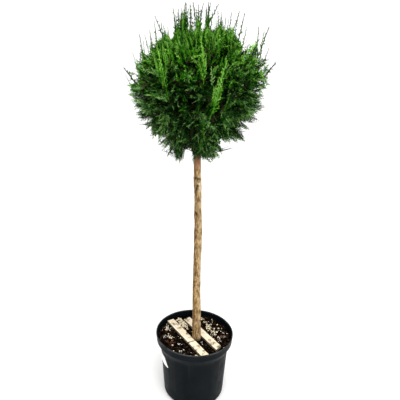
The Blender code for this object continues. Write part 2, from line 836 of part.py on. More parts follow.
def union_of(name, base, parts, solver, material):
    """Join meshes by one Boolean union on a collection, and apply it."""
    group = bpy.data.collections.new("fused")
    bpy.context.scene.collection.children.link(group)
    for part in parts:
        add_object("fused_part", part, None, group)
    obj = add_object(name, base.copy(), material)
    union = obj.modifiers.new("Union", "BOOLEAN")
    union.operation = "UNION"
    union.operand_type = "COLLECTION"
    union.solver = solver
    union.collection = group
    bpy.context.view_layer.update()
    fused = bpy.data.meshes.new_from_object(obj.evaluated_get(bpy.context.evaluated_depsgraph_get()))
    obj.modifiers.clear()
    obj.data = fused
    for part in list(group.objects):
        bpy.data.objects.remove(part)
    bpy.data.collections.remove(group)
    return obj


def distance_to(place, mesh):
    """Distance from a place to the nearest point of a mesh."""
    return min((vertex.co - place).length for vertex in mesh.vertices)


def fuse(name, base, parts, material):
    """Join a mass. Where neither solver gives one closed body, the spray at the fault is left out."""
    for _ in range(FUSE_TRIES):
        places = []
        for solver in ("EXACT", "MANIFOLD"):
            obj = union_of(name, base, parts, solver, material)
            faults = keep_main_body(obj.data)
            if not faults:
                return
            places += faults
            bpy.data.objects.remove(obj)
        parts.remove(min(parts[1:], key=lambda part: distance_to(places[0], part)))
    raise RuntimeError(f"{name} didn't fuse into one closed body")


def main():
    clear_scene()
    plastic = make_material("pot_plastic", (0.018, 0.021, 0.023), 0.55)
    compost = make_material("compost", (0.045, 0.028, 0.018), 0.95)
    sawn_wood = make_material("sawn_wood", (0.72, 0.60, 0.42), 0.80)
    paper = make_material("label_paper", (0.85, 0.85, 0.84), 0.60)
    bark = make_material("bark", (0.40, 0.27, 0.13), 0.85)
    needles = make_material("needles", (0.060, 0.150, 0.025), 0.70)
    make_pot(plastic)
    make_soil(compost)
    make_slats(sawn_wood)
    make_label(paper)
    cutter = make_trunk(bark)
    masses = plan_masses()
    make_boughs(masses, cutter, bark)
    for mass in masses:
        base, parts = grow_mass(mass, masses)
        fuse(mass.name, base, parts, needles)


main()
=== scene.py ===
"""The looks of the potted standard Leyland cypress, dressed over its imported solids.

Lengths are in metres and angles in degrees. +Z is up, the floor is z = 0 and the pot's axis is x = y = 0.
The front, which the photograph shows, faces -Y. The growth rule and its values repeat those of the part's
source, and go on from there to finer twigs and to sprays of scale leaves.
"""

import json
import math
import random
from collections import namedtuple

import bmesh
import bpy
import numpy as np
from mathutils import Matrix, Vector, noise
from mathutils.geometry import intersect_point_line

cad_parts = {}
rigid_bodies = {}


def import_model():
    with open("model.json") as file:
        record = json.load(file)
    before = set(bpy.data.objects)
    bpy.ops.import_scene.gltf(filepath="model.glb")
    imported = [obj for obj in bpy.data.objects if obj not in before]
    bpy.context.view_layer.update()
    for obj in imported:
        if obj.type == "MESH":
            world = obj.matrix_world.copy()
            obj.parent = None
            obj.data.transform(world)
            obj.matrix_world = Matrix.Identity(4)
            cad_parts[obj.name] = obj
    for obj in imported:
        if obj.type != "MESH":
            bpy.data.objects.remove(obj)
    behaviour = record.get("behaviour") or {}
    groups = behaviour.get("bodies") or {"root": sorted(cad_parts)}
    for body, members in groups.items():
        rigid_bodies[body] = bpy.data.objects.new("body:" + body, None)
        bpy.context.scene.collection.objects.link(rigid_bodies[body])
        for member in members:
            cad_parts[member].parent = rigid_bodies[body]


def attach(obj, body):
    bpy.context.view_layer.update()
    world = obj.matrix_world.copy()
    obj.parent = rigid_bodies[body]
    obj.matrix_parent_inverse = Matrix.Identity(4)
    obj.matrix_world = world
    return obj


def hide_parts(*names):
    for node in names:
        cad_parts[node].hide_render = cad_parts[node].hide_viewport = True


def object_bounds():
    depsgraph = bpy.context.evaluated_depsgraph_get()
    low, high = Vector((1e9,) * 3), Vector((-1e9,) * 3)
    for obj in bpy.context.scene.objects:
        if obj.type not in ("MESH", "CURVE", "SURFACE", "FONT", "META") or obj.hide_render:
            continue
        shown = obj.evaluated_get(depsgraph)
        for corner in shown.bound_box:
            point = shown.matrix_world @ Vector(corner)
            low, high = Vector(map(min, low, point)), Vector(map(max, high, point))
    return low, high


GAP = 0.0003
UP = Vector((0.0, 0.0, 1.0))
SHARP_ANGLE = 40  # degrees between faces that meet in a sharp edge

# The photograph's camera
PHOTO_PIXELS = 400
FOCAL_PIXELS = 463.7
SENSOR_WIDTH = 36.0  # millimetres
PRINCIPAL_X = 169.5  # the pixel column straight ahead: the photograph was cropped from a wider frame
CAMERA_PLACE = Vector((-0.0913, -1.4333, 1.2840))
CAMERA_PITCH = 20.03

# The pot
POT_HEIGHT = 0.250
RIM_RADIUS = 0.140
RIM_BEAD = 0.0016
BEAD_DEPTH = 0.0060
COLLAR_RADIUS = 0.1375
COLLAR_BOTTOM = 0.222
COLLAR_LEDGE = 0.003
SHOULDER_RADIUS = 0.1225
SHOULDER_HEIGHT = 0.196
FOOT_RADIUS = 0.111
FOOT_ROUNDING = 0.012
WALL = 0.0025
FLOOR_THICKNESS = 0.003
POT_SIDES = 240
PANELS = 11
PANEL_SHARE = 0.62  # of each panel's pitch
PANEL_RELIEF = 0.0007
PANEL_TURN = 6.5
PANEL_FADES = (0.02, 0.01)  # the heights over which the panels fade out at the foot and at the shoulder
PANEL_EDGE = 40  # how sharp their edges are
LIP = 0.0007
DRAIN_HOLES = 8
DRAIN_RADIUS = 0.006
DRAIN_CIRCLE = 0.086

# The compost
SOIL_LEVEL = 0.226
SOIL_CLEARANCE = 0.0006
SOIL_SIDES = 180
SOIL_RINGS = 56
SOIL_ROUGHNESS = 0.0035
SOIL_HEAP = 0.0045  # how much higher the compost lies at the back
SOIL_SUNK = 0.0012
MOUND = (0.0030, 0.012)  # the compost that lies against the trunk: its height and how far it spreads
EDGE_DROP = 0.0020
EDGE_SLOPE = (0.85, 0.15)  # from which share of the radius, and over which, the compost drops to the wall
HEAP_SLOPE = (0.030, 0.070)  # from how far behind the pot's axis, and over which length, it rises
SOIL_LUMPS = (60.0, 190.0)  # the scales of large and of small lumps
Chips = namedtuple("Chips", "name dark light count sizes flatness spots")
CHIP_SEED = 7
HULL_SEED = 1
CHIPS = (
    Chips("perlite", (0.72, 0.68, 0.60), (0.95, 0.92, 0.86), 130, (0.0009, 0.0019), 0.85,
          ((163, 327), (168, 325), (169, 328), (165, 336), (180, 344), (181, 351), (201, 343), (187, 314),
           (211, 323), (219, 329), (212, 335), (174, 317), (224, 337), (218, 340))),
    Chips("pale_bark", (0.50, 0.36, 0.18), (0.95, 0.86, 0.66), 330, (0.0011, 0.0038), 0.60,
          ((178, 321), (180, 318), (182, 321), (184, 323), (186, 325), (185, 327), (181, 325), (179, 317),
           (182, 316), (184, 319), (180, 320), (183, 326), (187, 328), (185, 321), (181, 323), (183, 320),
           (179, 319), (184, 325), (181, 319), (186, 327), (182, 323), (180, 317), (183, 318),
           (178, 319), (184, 321), (186, 323), (183, 324), (187, 326), (180, 323), (185, 319),
           (181, 320), (182, 319), (185, 324), (202, 320),
           (205, 323), (208, 326), (211, 325), (210, 329), (214, 332), (213, 329), (171, 337), (168, 329))),
    Chips("red_bark", (0.040, 0.013, 0.006), (0.190, 0.075, 0.038), 60, (0.0012, 0.0028), 0.45,
          ((171, 344), (173, 342), (168, 341), (222, 336), (183, 314), (204, 317))),
    Chips("brown_bark", (0.005, 0.0025, 0.0014), (0.070, 0.038, 0.019), 420, (0.0012, 0.0034), 0.50, ()),
    Chips("grit", (0.0012, 0.0008, 0.0005), (0.010, 0.006, 0.004), 900, (0.0012, 0.0034), 0.75, ()),
)
SPOT_SHARE = 0.86  # of the chips of a kind that lie in its spots; the rest lie anywhere
SPOT_SPREAD = 0.0050
WALL_SHADE = 0.010  # no pale chips lie this near the pot's wall

# The slats on the compost
SLAT_WIDTH = 0.028
SLAT_THICKNESS = 0.010
SLAT_ROUNDING = 0.0009
SLAT_SHARP_ANGLE = 48
SLAT_STEPS = 110
SLAT_FRAY = 0.0008
GRAIN_SCALE = 420.0
GRAIN_STRETCH = 0.08
GRAIN_RELIEF = 0.00035
SAW_RELIEF = 0.0002
SAW_MARKS = 1900  # radians in a metre
WANE = 0.0010
WANE_SCALE = 34.0
SLAT_OFFSET = 0.0311
FRONT_SLAT_ANGLE = -60.4
FRONT_SLAT_ENDS = (-0.1215, 0.1235)
CRACK_POSITION = 0.0325
CRACK_WIDTH = 0.0012
CRACK_SLANT = 0.003
CRACK_OPENING = 0.0034  # more, where the crack gapes at its near edge
CRACK_DEPTH = 0.0030
# how far from the crack, in and beside its groove, the slats are darker
CRACK_DARK_REACH = 0.0026
# A stub of bark on the front slat's back edge: place, half length and height
BUMP = (-0.036, 0.0065, 0.0026)
SOIL_AND_SHADE_SPOTS = (  # on the slats: pixel and radius in metres
    (173.5, 323.5, 0.0075), (198.5, 346, 0.0085), (193.5, 347, 0.005), (204, 351, 0.007),
    (209.5, 340, 0.008), (214, 343, 0.008), (188, 321, 0.006), (218.5, 347, 0.01), (200.5, 341, 0.0055),
    # (188.9, 342.4) is painted shade at the crack's gaping near edge; the other spots are soil
    (206, 348, 0.006), (188.9, 342.4, 0.0054), (203, 354, 0.005),
)
BACK_SLAT_ANGLE = -59.6
BACK_SLAT_ENDS = (-0.100, 0.113)
BACK_SLAT_SLANT = 0.010

# The blank label
LABEL_HEIGHT = 0.036
LABEL_BOTTOM = 0.142
LABEL_THICKNESS = 0.0005
LABEL_AZIMUTHS = (172.5, 217.5)
LABEL_SLANT = 11.0  # degrees by which the front edge leans back at the top
LABEL_ROUNDING = 0.004
LABEL_GRID = (48, 16)

# The trunk: height, x, y and radius
TRUNK_STATIONS = (
    (SOIL_LEVEL + GAP, 0.0072, -0.0137, 0.0163),
    (0.246, 0.0070, -0.0134, 0.0157),
    (0.345, 0.0054, -0.0105, 0.0150),
    (0.425, 0.0038, -0.0075, 0.0142),
    (0.500, 0.0038, -0.0050, 0.0132),
    (0.650, 0.0052, -0.0025, 0.0134),
    (0.735, 0.0024, -0.0015, 0.0120),
    (0.885, -0.0020, -0.0008, 0.0114),
    (1.010, -0.0050, 0.0000, 0.0088),
    (1.150, -0.0080, 0.0000, 0.0050),
)
TRUNK_SIDES = 56
TRUNK_RINGS = 400
KNOTS = (0.645, 0.710, 0.808, 0.8355)
KNOT_AZIMUTHS = (-70.0, -95.0, -100.0, -82.0)
KNOT_SWELL = 0.07
KNOT_SPREAD = 0.014
KNOT_SCAR = 0.0042
KNOT_COLLAR = (0.0052, 0.0022)  # how far out a knot's raised collar lies, and its width
BARK_CUTS = (  # dark cuts in the bark: pixel, half width and height in pixels, lean and strength
    (195.4, 178, 1.3, 1.2, 0, 1.2), (198.8, 178.9, 1.6, 0.9, 0, 1.1), (197, 178.4, 2.8, 0.6, 0, 0.5),
    (197.7, 185.8, 1.2, 1.4, 0, 1.6), (196.2, 189.6, 1, 4.4, 20, 0.9),
    (196.1, 213.4, 1.1, 2.2, -25, 1.5), (200.6, 197.5, 0.6, 0.9, 0, 0.6),
    (194.4, 185.5, 0.7, 1.2, 0, 0.6),
)
CUT_REACH = 1.25
BARK_RADIUS = 0.0135
FLAKE_RELIEF = 0.00045
FURROW_DEPTH = 0.00075
FURROW_WIDTH = 0.28
LUMP_RELIEF = 0.0007
COLLAR_RELIEF = 0.0011
CUT_DEPTH = 0.0012
# The bark's noise: scale, octaves and how much it is squeezed along the trunk
FURROW_NOISE = (150.0, 3, 0.20)
FLAKE_NOISE = (330.0, 4, 0.42)
LUMP_NOISE = (42.0, 2, 0.5)
PATCH_NOISE = (120.0, 3, 0.4)
# How much darker furrows, collars and scars are, and the trunk's side painted darker as shade
FURROW_DARKNESS = 0.75
COLLAR_DARKNESS = 0.25
SCAR_DARKNESS = 0.3
SHADED_SIDE_DARKNESS = 0.34
HIGHLIGHT_STRENGTH = (0.30, 0.55)  # painted highlight: all along the lit side, and more where it is strongest
UPPER_BARK = (0.862, 0.055)  # from which height, and over which length, the bark turns red, and then dark as painted shade under the crown
SOILED_FOOT = (0.016, 0.002)  # heights above the compost between which the trunk is soiled
HIGHLIGHT_SIDE = -35.0  # the side of the trunk painted paler as a highlight, and where the painted highlight is strongest
HIGHLIGHT_HEIGHT = 0.825
HIGHLIGHT_SPREAD = 0.045
# the side of the trunk painted darker as shade
SHADED_SIDE = 190.0

# The crown
CROWN_CENTRE = Vector((-0.008, 0.0, 1.150))
CROWN_RADIUS = 0.212
CROWN_RISE = 0.158
CROWN_DROP = 0.272
TOP_SQUARENESS = 2.65
BOTTOM_SQUARENESS = 1.56
LEAN_RIGHT = 0.15
SEED_DISTANCE = 0.130
CELL_GAP = 0.0012

Ring = namedtuple(
    "Ring", "name count azimuth elevation root_height root_step bough_reach bough_drop radius"
)
RINGS = (
    Ring("upper", 5, -18.0, 38.0, 1.045, 0.012, 0.062, 0.014, 0.0042),
    Ring("side", 6, 10.0, 0.0, 0.970, 0.010, 0.068, 0.032, 0.0047),
    Ring("lower", 4, -65.0, -48.0, 0.894, 0.006, 0.087, 0.095, 0.0052),
)
TOP_SEED = 11
RING_SEED = 100
BOUGH_SEGMENTS = 4
BOUGH_BEND = 0.38
BOUGH_RISE = 0.55
BOUGH_TAPER = 0.62
BOUGH_SIDES = 12
BOUGH_STEPS = 36
BOUGH_RELIEF = 0.10
BOUGH_NOISE = (260.0, 3)
BOUGH_SWELL = (0.45, 0.22)  # how much thicker a bough is at its root, and over which share of its length

STEM_END = 0.60
STEM_STRAIGHT = 0.010
STEM_BEND = 0.40
STEM_SEGMENTS = 3
STEM_TAPER = 0.55

TWIG_SITES = 96
TWIG_REACH = 0.70
TWIG_RADIUS = 0.0021
TWIG_ROOT = 0.55
TWIG_BEND = 0.35
LOWEST_SITE = -0.97
UPWARD_PULL = 0.90

SPRAY_LENGTH = 0.086
SPRAY_WIDTH = 0.037
SPRAY_REACH = 1.07
SPRAY_RIDGE = 0.0020
SPRAY_CENTRE = 0.28
SPRAY_SPREAD = 44.0
SPRAY_TRIES = 4
SPRAY_WOBBLE = 0.5
SHORTEST_SPRAY = 0.60
LENGTH_RANGE = (0.88, 1.10)
END_SPRAY_PLACE = 0.90
SIDE_SPRAYS = ((0.40, 0.90), (0.80, 0.95))
END_TEETH = ((0.44, 1.00), (0.41, 0.40), (0.74, 0.66), (0.70, 0.22))
SIDE_TEETH = ((0.54, 0.90), (0.50, 0.36))
SHOOT_LENGTH = 0.098
SHOOT_RADIUS = 0.0030
SHOOT_WIDEST = 0.12
SHOOT_UPRIGHT = 0.5
SHOOT_SHARE = 0.85
SHOOT_LOWEST = 0.10
LIMB_CLEARANCE = 0.0022
CORE_DRAWS = 42  # the source draws one random number for each point of a mass's core

# Finer growth. A spray is drawn in shares of its own length: a leader, side branchlets and scale shoots
Kind = namedtuple(
    "Kind",
    "branchlets first last longest spread forward roll branchlet_width"
    " scale_gap scale_length scale_width shifts leader_radius",
)
PLUME = Kind(12, 0.06, 0.94, 0.34, 42.0, 0.35, 30.0, 0.050, 0.085, 0.135, 0.056, (-2.2, 1.7), 0.012)
COARSE = Kind(10, 0.08, 0.94, 0.38, 50.0, 0.20, 45.0, 0.044, 0.110, 0.170, 0.058, (-0.5, 0.5), 0.010)
WHIP = Kind(14, 0.04, 0.96, 0.145, 34.0, 0.40, 70.0, 0.030, 0.070, 0.105, 0.044, (1.8, -1.4), 0.016)
FEATHER = Kind(20, 0.04, 0.97, 0.205, 38.0, 0.35, 30.0, 0.022, 0.056, 0.078, 0.025, (-1.3, 0.5), 0.009)
GROWER_SEED = 29
LEADER_TIP = 0.55  # how thick a leader still is at its tip
LEADER_SWAY = 0.028  # how far a leader bends sideways, and how far up and down
LEADER_WAVE = 0.012
BRANCHLET_SIZES = (0.75, 1.15)
BRANCHLET_SCATTER = (-6, 6)  # degrees
SCALE_SPREAD = (28, 44)  # degrees between a branchlet and its scale shoots
SCALE_SIZES = (0.75, 1.2)
SCALE_TWIST = (-0.7, 0.7)  # radians
SHADE_JITTER = 1.0  # how much lighter or darker single branchlets are
GLINT_SHARE = 0.12  # of the branchlets that catch the light, and by how much they are lighter
GLINT_SHIFT = 2.2
HOLLOW_SHARE = 0.25  # of the branchlets that lie in shade, and by how much they are darker
HOLLOW_SHIFT = -2.0
SPRAY_SCATTER = 1.3  # how much lighter or darker whole sprays are
# Painted light and shade: sprays are painted lighter towards the crown's lit skin than in its shaded
# inside, and lighter where they face up to the light
SKIN_LIGHT = 3.6  # how many shades lighter the crown's skin is than its inside
SKIN_DEPTHS = (0.65, 0.35)  # from which share of the reach, and over which, sprays get lighter
UPPER_LIGHT = (2.2, -0.24)  # shades by the steepness of a place, and shades added, in either half
LOWER_LIGHT = (0.6, 0.18)
BRIGHT_SHARE = 0.13  # of the sprays that stand out, and by how much
BRIGHT_SHIFT = 2.4
VARIANTS = 9
KITE_WIDEST = 0.42
KITE_FOLD = 0.30

PLUMES_ROUND = 12  # plumes round the one on each spray's axis
PLUME_SPREAD = (20.0, 60.0)
PLUME_PLACES = (-0.10, 0.55)
PLUME_SIZES = (0.36, 0.58)  # at the crown's middle height and below
PLUME_SIZES_TOP = (0.50, 0.85)
TOP_SPRAYS = 0.35  # how steeply up a place must lie from the crown's centre for the sizes of its top
PLUME_LIFT = (0.00, 0.34)  # the upward pull at the bottom and at the top of the crown
PLUME_LIMITS = (1.03, 0.92)  # shares of the dense reach, below and on top of the crown
WHIP_LIMITS = (1.05, 1.35)  # at the crown's middle height and at its top
SHELL_SPRAYS = 2400  # twigs with a plume, spread over the crown's skin
SHELL_DEPTHS = (0.66, 0.92)
SHELL_SIZES = (0.030, 0.058)
SHELL_SPREAD = 75.0
SPIKE_SHARE = 0.26  # of the twigs on the crown's upper skin that carry an upright feather
SPIKE_LOWEST = 0.25
SPIKE_SIZES = (0.036, 0.066)
SPIKE_LIMITS = (0.97, 1.03)
INNER_LIMIT = 0.86
INNER_SPRAYS = 12
STEM_SPRAYS = 34
BOUGH_SPRAYS = 16
TRUNK_SPRAYS = 34
INNER_SPREAD = (35.0, 80.0)
INNER_SIZES = (0.045, 0.080)
TRUNK_SPRAY_HEIGHTS = (0.935, 0.98, 1.03, 1.08, 1.12)
INNER_MOODS = (-0.6, -0.4, -0.8)  # how much darker the sprays on stems, on twigs and on the trunk are: painted shade deep in the crown, and older foliage
SKIRT_SPRAYS = 12  # longer sprays that hang out from each of the lowest boughs
SKIRT_SIZES = (0.050, 0.080)
SKIRT_TURN = 75  # degrees to either side
SKIRT_DROP = (-0.75, 0.15)
WHIPS_ROUND = 2
WHIP_SPREAD = 15.0
WHIP_SIZES = (0.60, 0.95)
WHIP_SET_BACK = 0.040
WHIP_DEEPER = 0.30  # a placed whip starts this share of its length deeper in the crown
WHIP_CEILING = 1.3685
EDGE_MARGIN = 0.006  # how far inside the CAD model's sides the placed sprays end
FACE_OUT_SCATTER = 42.0
TWIG_FINE = (0.0008, 0.0005)
SPRAY_CLEARANCE = 0.0035
SPRAY_RISE = 0.16  # how much a spray's tip bends up, more so at the crown's top, give or take
RISE_SCATTER = (-0.05, 0.07)
SPIRAL = 2.4  # radians from one side spray to the next
LEAST_FACE = 0.05  # of 1, below which a spray that points straight outwards turns its face aside
BOX_MARGIN = 0.001

# Lines of sight that the photograph shows open, to the sky or the trunk: pixel and radius in pixels
SKY_GAPS = (
    (187.5, 149.5, 1), (190.5, 153.5, 1.2), (190.5, 157.5, 1.5), (187.5, 162, 3), (205.5, 164, 2),
    (198, 162, 2.5), (253.5, 43, 2.2), (252, 36, 2), (223.5, 145.5, 1.8), (228, 146.5, 2.4),
    (233, 145.5, 2), (249.5, 24, 2.5), (242, 4, 3), (192.5, 21, 2), (193, 26, 1.2), (202, 21, 1.8),
    (202.5, 25.5, 1), (212, 22, 2.5), (212.5, 28, 1.2), (226, 23, 2), (233.5, 23, 2.5), (237, 29, 2.5),
    (241, 34, 2.8), (243.5, 39, 2), (156, 34.5, 2.5), (153.5, 39, 1), (146, 44, 1.8), (146, 50, 1.5),
    (262.5, 50, 2), (266, 56, 2.5), (131, 60, 2.2), (130.5, 66, 2), (171, 30, 1.8), (171, 37, 1.2),
    (250.5, 33, 3.2), (249, 42, 2.6), (246, 49, 1.6), (134, 71.5, 0.8), (133, 76.5, 0.8),
    (132, 81, 0.5), (144.5, 121, 1.1), (138.3, 59, 0.9), (211, 21, 0.1), (167.2, 147.3, 0.8),
    (161.6, 34, 0), (138, 109.6, 0.8), (259.4, 55.2, 0.5), (220.9, 141.2, 0.6), (153.3, 43, 0),
    (148.7, 128.2, 0.3), (264.3, 83.5, 0), (246, 124, 0.3),
)
SKY_MARGIN = 1.3  # more pixels, for the sprays that grow by the rule, and for tufts
TUFT_SKY_MARGIN = 0.8

# Bright feathers on the crown's front, from the pixel of the foot to that of the tip, and their shade
FRONT_FEATHERS = (
    (204, 84, 202, 44, 5.7), (203, 80, 198, 58, 4.9), (204, 76, 206.5, 54, 5.1), (202, 62, 201, 36, 5),
    (209.5, 119.5, 224, 72, 5.7), (214, 106, 226, 61, 5.8), (213, 110, 214, 86, 5.2),
    (217, 104, 223, 82, 5), (169, 100, 158, 50, 5.1), (160, 82, 154, 52, 4.9),
    (163, 88, 159.5, 62, 5.2), (165, 80, 166, 50, 4.7), (164, 62, 162, 42, 5.6),
    (170, 60, 167, 41, 5.2), (203, 121, 204, 141, 4.6), (208, 122, 194, 126, 4.2),
    (201, 138, 200, 152, 4), (223, 112, 229, 98, 4.2), (223, 112, 234, 103, 4.4),
    (223, 112, 233, 112, 4), (249, 86, 254, 64, 3.8), (186, 62, 178, 36, 4.4), (194, 58, 190, 36, 4.2),
    (216, 56, 221, 34, 4.4), (174, 64, 170, 48, 4),
)
FEATHER_SHARES = (0.92, 1.01)
SEARCH_FROM = 0.9  # metres from the camera, in these steps, for the crown's skin
SEARCH_STEP = 0.0005

# Whips that stand out of the crown's outline: the pixels of the foot and the tip, and how deep they stand
OUTLINE_WHIPS = (
    (162.5, 37, 155, 15.5, 0), (156, 38, 154, 21, -0.04), (169.5, 41, 167.5, 27, 0.03),
    (142, 52, 139.4, 33.5, 0), (148, 49, 144.8, 34.5, -0.03), (151.5, 43, 149, 29, 0.04),
    (137, 67, 132.4, 53, 0), (135, 84, 124, 67, 0), (131.5, 86, 125.5, 75, -0.03),
    (176.8, 37, 173, 8, 0.02), (178, 33, 178.5, 9, -0.05), (185.5, 29, 185.5, 2, 0),
    (190, 29, 190, 6, 0.05), (196.5, 29, 193.6, 2, -0.02), (198.5, 28, 198.8, 4.5, 0.03),
    (200, 26, 203, 3, -0.06), (207.5, 28, 210.5, 2.5, 0), (206.5, 26, 219, 4, -0.03),
    (218.5, 29, 218, 11, 0.05), (221, 28, 222, 12, -0.05), (229, 30, 232, 12, 0.02),
    (232.5, 32, 240, 11, -0.02), (239, 38, 244.6, 13, 0), (243, 44, 246.5, 27, 0.04),
    (256, 52, 258.7, 27, 0), (259, 53, 269.5, 27, -0.02), (261, 47, 264.5, 31, 0.03),
    (263.5, 63, 269, 48, 0), (264.5, 78, 276, 62, 0), (263, 84, 270, 79, -0.03),
    (257, 109, 265.5, 107, 0), (236, 133, 246, 131.5, -0.02), (222, 151, 233, 148, 0),
    (219, 151.5, 231, 147.8, -0.01), (220, 150, 228, 146.5, 0.01), (180, 36, 181, 13, 0),
    (182, 26, 181.5, 8, -0.02), (184.5, 24, 184.5, 5, 0.02), (179, 28, 177.5, 12, 0.01),
    (187, 22, 186.5, 3, 0), (198, 26, 198.5, 7, -0.02), (194, 26, 194.5, 8, 0.02),
    (209, 26, 209, 6, -0.02), (207, 24, 206.8, 7, 0.01), (193.5, 150, 186, 151.5, 0),
    (194, 147.5, 187, 149.5, 0.01), (183, 34, 183.8, 9, 0.03), (187.5, 34, 188, 8.5, -0.03),
    (192, 34, 191.5, 12, 0), (196, 34, 196.6, 9, 0.04), (201, 32, 200.8, 10, 0.01),
    (205.5, 32, 206, 9, 0.03), (210, 32, 213, 12, 0), (224, 34, 226, 17, 0),
    (227, 34, 228.5, 19, -0.04), (235, 36, 237.5, 18, 0.02), (157, 42, 155.5, 29, 0.02),
    (145, 54, 143, 41, 0.02), (260, 60, 262, 42, -0.02), (173, 152.5, 161.5, 151, 0),
    (149, 125, 138.5, 124.5, -0.02), (143, 113, 135.5, 114.5, 0.02),
)

# Tufts that fill out the crown's outline: the pixels of the foot and the tip, half the tuft's width in
# pixels, the count of plumes, how deep it stands and its shade
OUTLINE_TUFTS = (
    (184, 40, 182.5, 10, 3.5, 12, 0, 3.8), (177, 42, 175.6, 19, 1.6, 7, 0.02, 3.4),
    (198, 34, 198, 14, 1.5, 5, 0, 3.8), (208, 34, 208, 12, 1.5, 6, 0, 3.8),
    (220, 36, 219.5, 20, 3, 7, 0.01, 3.2), (231, 40, 233, 22, 4, 9, 0, 3.2),
    (240, 48, 241.5, 32, 2, 4, 0, 2.8), (165.5, 46, 164.6, 29, 1.6, 5, 0, 3.4),
    (152, 54, 150, 42, 2.5, 6, 0, 3.4), (143, 62, 142.5, 50, 2.5, 6, 0, 3.2),
    (259, 64, 257.5, 42, 2.5, 6, 0, 3.2), (261, 68, 262, 56, 3, 5, 0.01, 3),
    (265, 76, 267, 64, 2.5, 5, 0, 2.8), (144, 90, 130.5, 87, 4, 14, 0, 2.8),
    (146, 98, 132.5, 96, 4.5, 15, 0, 2.6), (149, 106, 137.5, 106, 4.5, 15, 0, 2.4),
    (151, 114, 138.5, 115.5, 3.5, 12, 0, 2.2), (154, 123, 143.5, 126, 4, 12, 0, 2.2),
    (160, 130, 150.5, 133, 3.5, 10, 0, 2), (170, 142, 163.5, 150, 4, 14, -0.02, 2),
    (176, 142, 173, 155, 4, 15, -0.02, 2), (180, 144, 180, 161, 4, 21, -0.02, 2.2),
    (172, 146, 168, 153.5, 3, 18, -0.01, 1.6), (178, 148, 176, 159, 4, 24, 0, 1.4),
    (180, 150, 180, 161, 2.5, 18, -0.01, 1.8), (183, 138, 184.5, 147, 3, 15, -0.01, 1.6),
    (204, 146, 208, 157, 4.5, 24, -0.01, 1.8), (210, 146, 215, 155, 3.5, 18, -0.01, 2),
    (214, 130, 218, 139, 4, 15, -0.01, 1.8), (230, 130, 236, 142.5, 4, 18, -0.01, 2.4),
    (224, 131, 227, 142, 3, 15, -0.01, 1.8), (234, 131, 243.5, 141, 3, 21, 0, 2.6),
    (166, 140, 160, 146, 3.5, 15, 0, 1.8), (186, 142, 187, 146, 2, 9, -0.02, 1.6),
    (170, 122, 166, 130, 5, 12, -0.06, 1.6), (192, 124, 193, 134, 4, 12, -0.06, 1.4),
    (146, 104, 138, 108, 4, 12, -0.01, 1.8), (206, 142, 211, 156, 5, 21, -0.02, 2.2),
    (213, 142, 220, 152.5, 3.5, 14, -0.02, 2.4), (206, 146, 204.5, 157, 2.5, 9, -0.03, 2.2),
    (226, 128, 240, 138.5, 4, 18, -0.02, 2.6), (226, 130, 231, 142, 2.5, 10, -0.02, 2.4),
    (236, 122, 247.5, 122, 4, 15, 0, 2.6), (244, 112, 256.5, 117, 4.5, 16, 0, 2.8),
    (248, 104, 260.5, 106, 4.5, 16, 0, 2.8), (252, 94, 262.5, 97, 4, 14, 0, 2.8),
    (150, 104, 136, 101, 4, 12, 0, 2.2), (147, 111, 135.5, 113, 3, 12, 0, 2.2),
    (172, 148, 167, 155.5, 2.5, 10, 0, 1.8), (150, 115, 137, 117, 2.2, 11, 0, 2),
    (155, 124, 147, 130, 3, 9, 0, 2), (146, 92, 130, 91, 3.5, 10, 0, 2.2),
    (250, 108, 263, 107, 3, 12, 0, 2.6), (246, 116, 258, 121, 3.5, 12, 0, 2.4),
    (242, 124, 250, 129, 3, 8, 0, 2.2), (212, 149, 225, 150, 1.6, 7, -0.01, 2),
    (196, 145, 195.8, 157.5, 1.6, 9, -0.03, 1.5), (201.5, 146, 201, 157, 1.6, 8, -0.03, 1.6),
    (203.5, 148, 202.8, 160.5, 1.6, 14, -0.03, 1.6), (193.5, 146, 193.2, 156, 1.2, 9, -0.02, 1.5),
    (239, 48, 240.5, 40, 1, 3, 0, 2.8), (244, 120, 253.5, 122.5, 1.5, 8, 0, 2.2),
    (170, 138, 167, 144, 3, 9, -0.01, 1.6), (143, 78, 136.5, 76, 2.5, 9, 0, 2.4),
    (238, 50, 241.2, 40.5, 1, 4, 0, 2.8), (223, 134, 225.5, 143, 1.5, 7, 0, 1.8),
    (250, 100, 262, 101.5, 2, 7, 0, 2.4), (150, 122, 143, 125, 1.5, 7, 0, 1.8),
    (193.8, 148, 192.6, 155.5, 0.8, 6, -0.02, 1.5), (176, 114, 176.4, 104, 2, 9, 0.02, 0.8),
    (203.4, 112, 203.4, 102, 2, 9, 0.02, 0.8), (198.5, 147, 198.3, 158.5, 2, 16, -0.04, 1.1),
    (258, 58, 258.5, 47, 0.8, 4, 0, 3), (143.5, 60, 142.4, 47, 0.8, 4, 0, 3.2),
    (256, 76, 262, 67.5, 1.6, 6, 0, 2.8), (240, 118, 247, 121.8, 1.4, 5, 0, 2.4),
    (214, 146, 221, 151.5, 1.2, 6, -0.01, 2),
)
TUFT_DEPTH = 0.022
TUFT_FEET = (0.0, 0.35)  # where on its line a tuft's plume starts, and which share of the rest it takes
TUFT_TIPS = (0.62, 1.0)

# Patches on the crown's front whose sprays are painted darker, as the shade of hollows, or lighter, as
# painted light: pixel, radius in pixels, shift in shades
SHADE_PATCHES = (
    (193, 92, 31, -1.3), (178, 118, 18, -0.6), (230, 88, 12, -0.9), (161, 48, 17, 0.7),
    (205, 36, 30, 0.7), (243, 60, 20, 0.9), (148, 94, 18, -0.7), (191, 138, 11, -1),
    (222, 126, 16, -0.4), (247, 92, 18, -0.7),
)
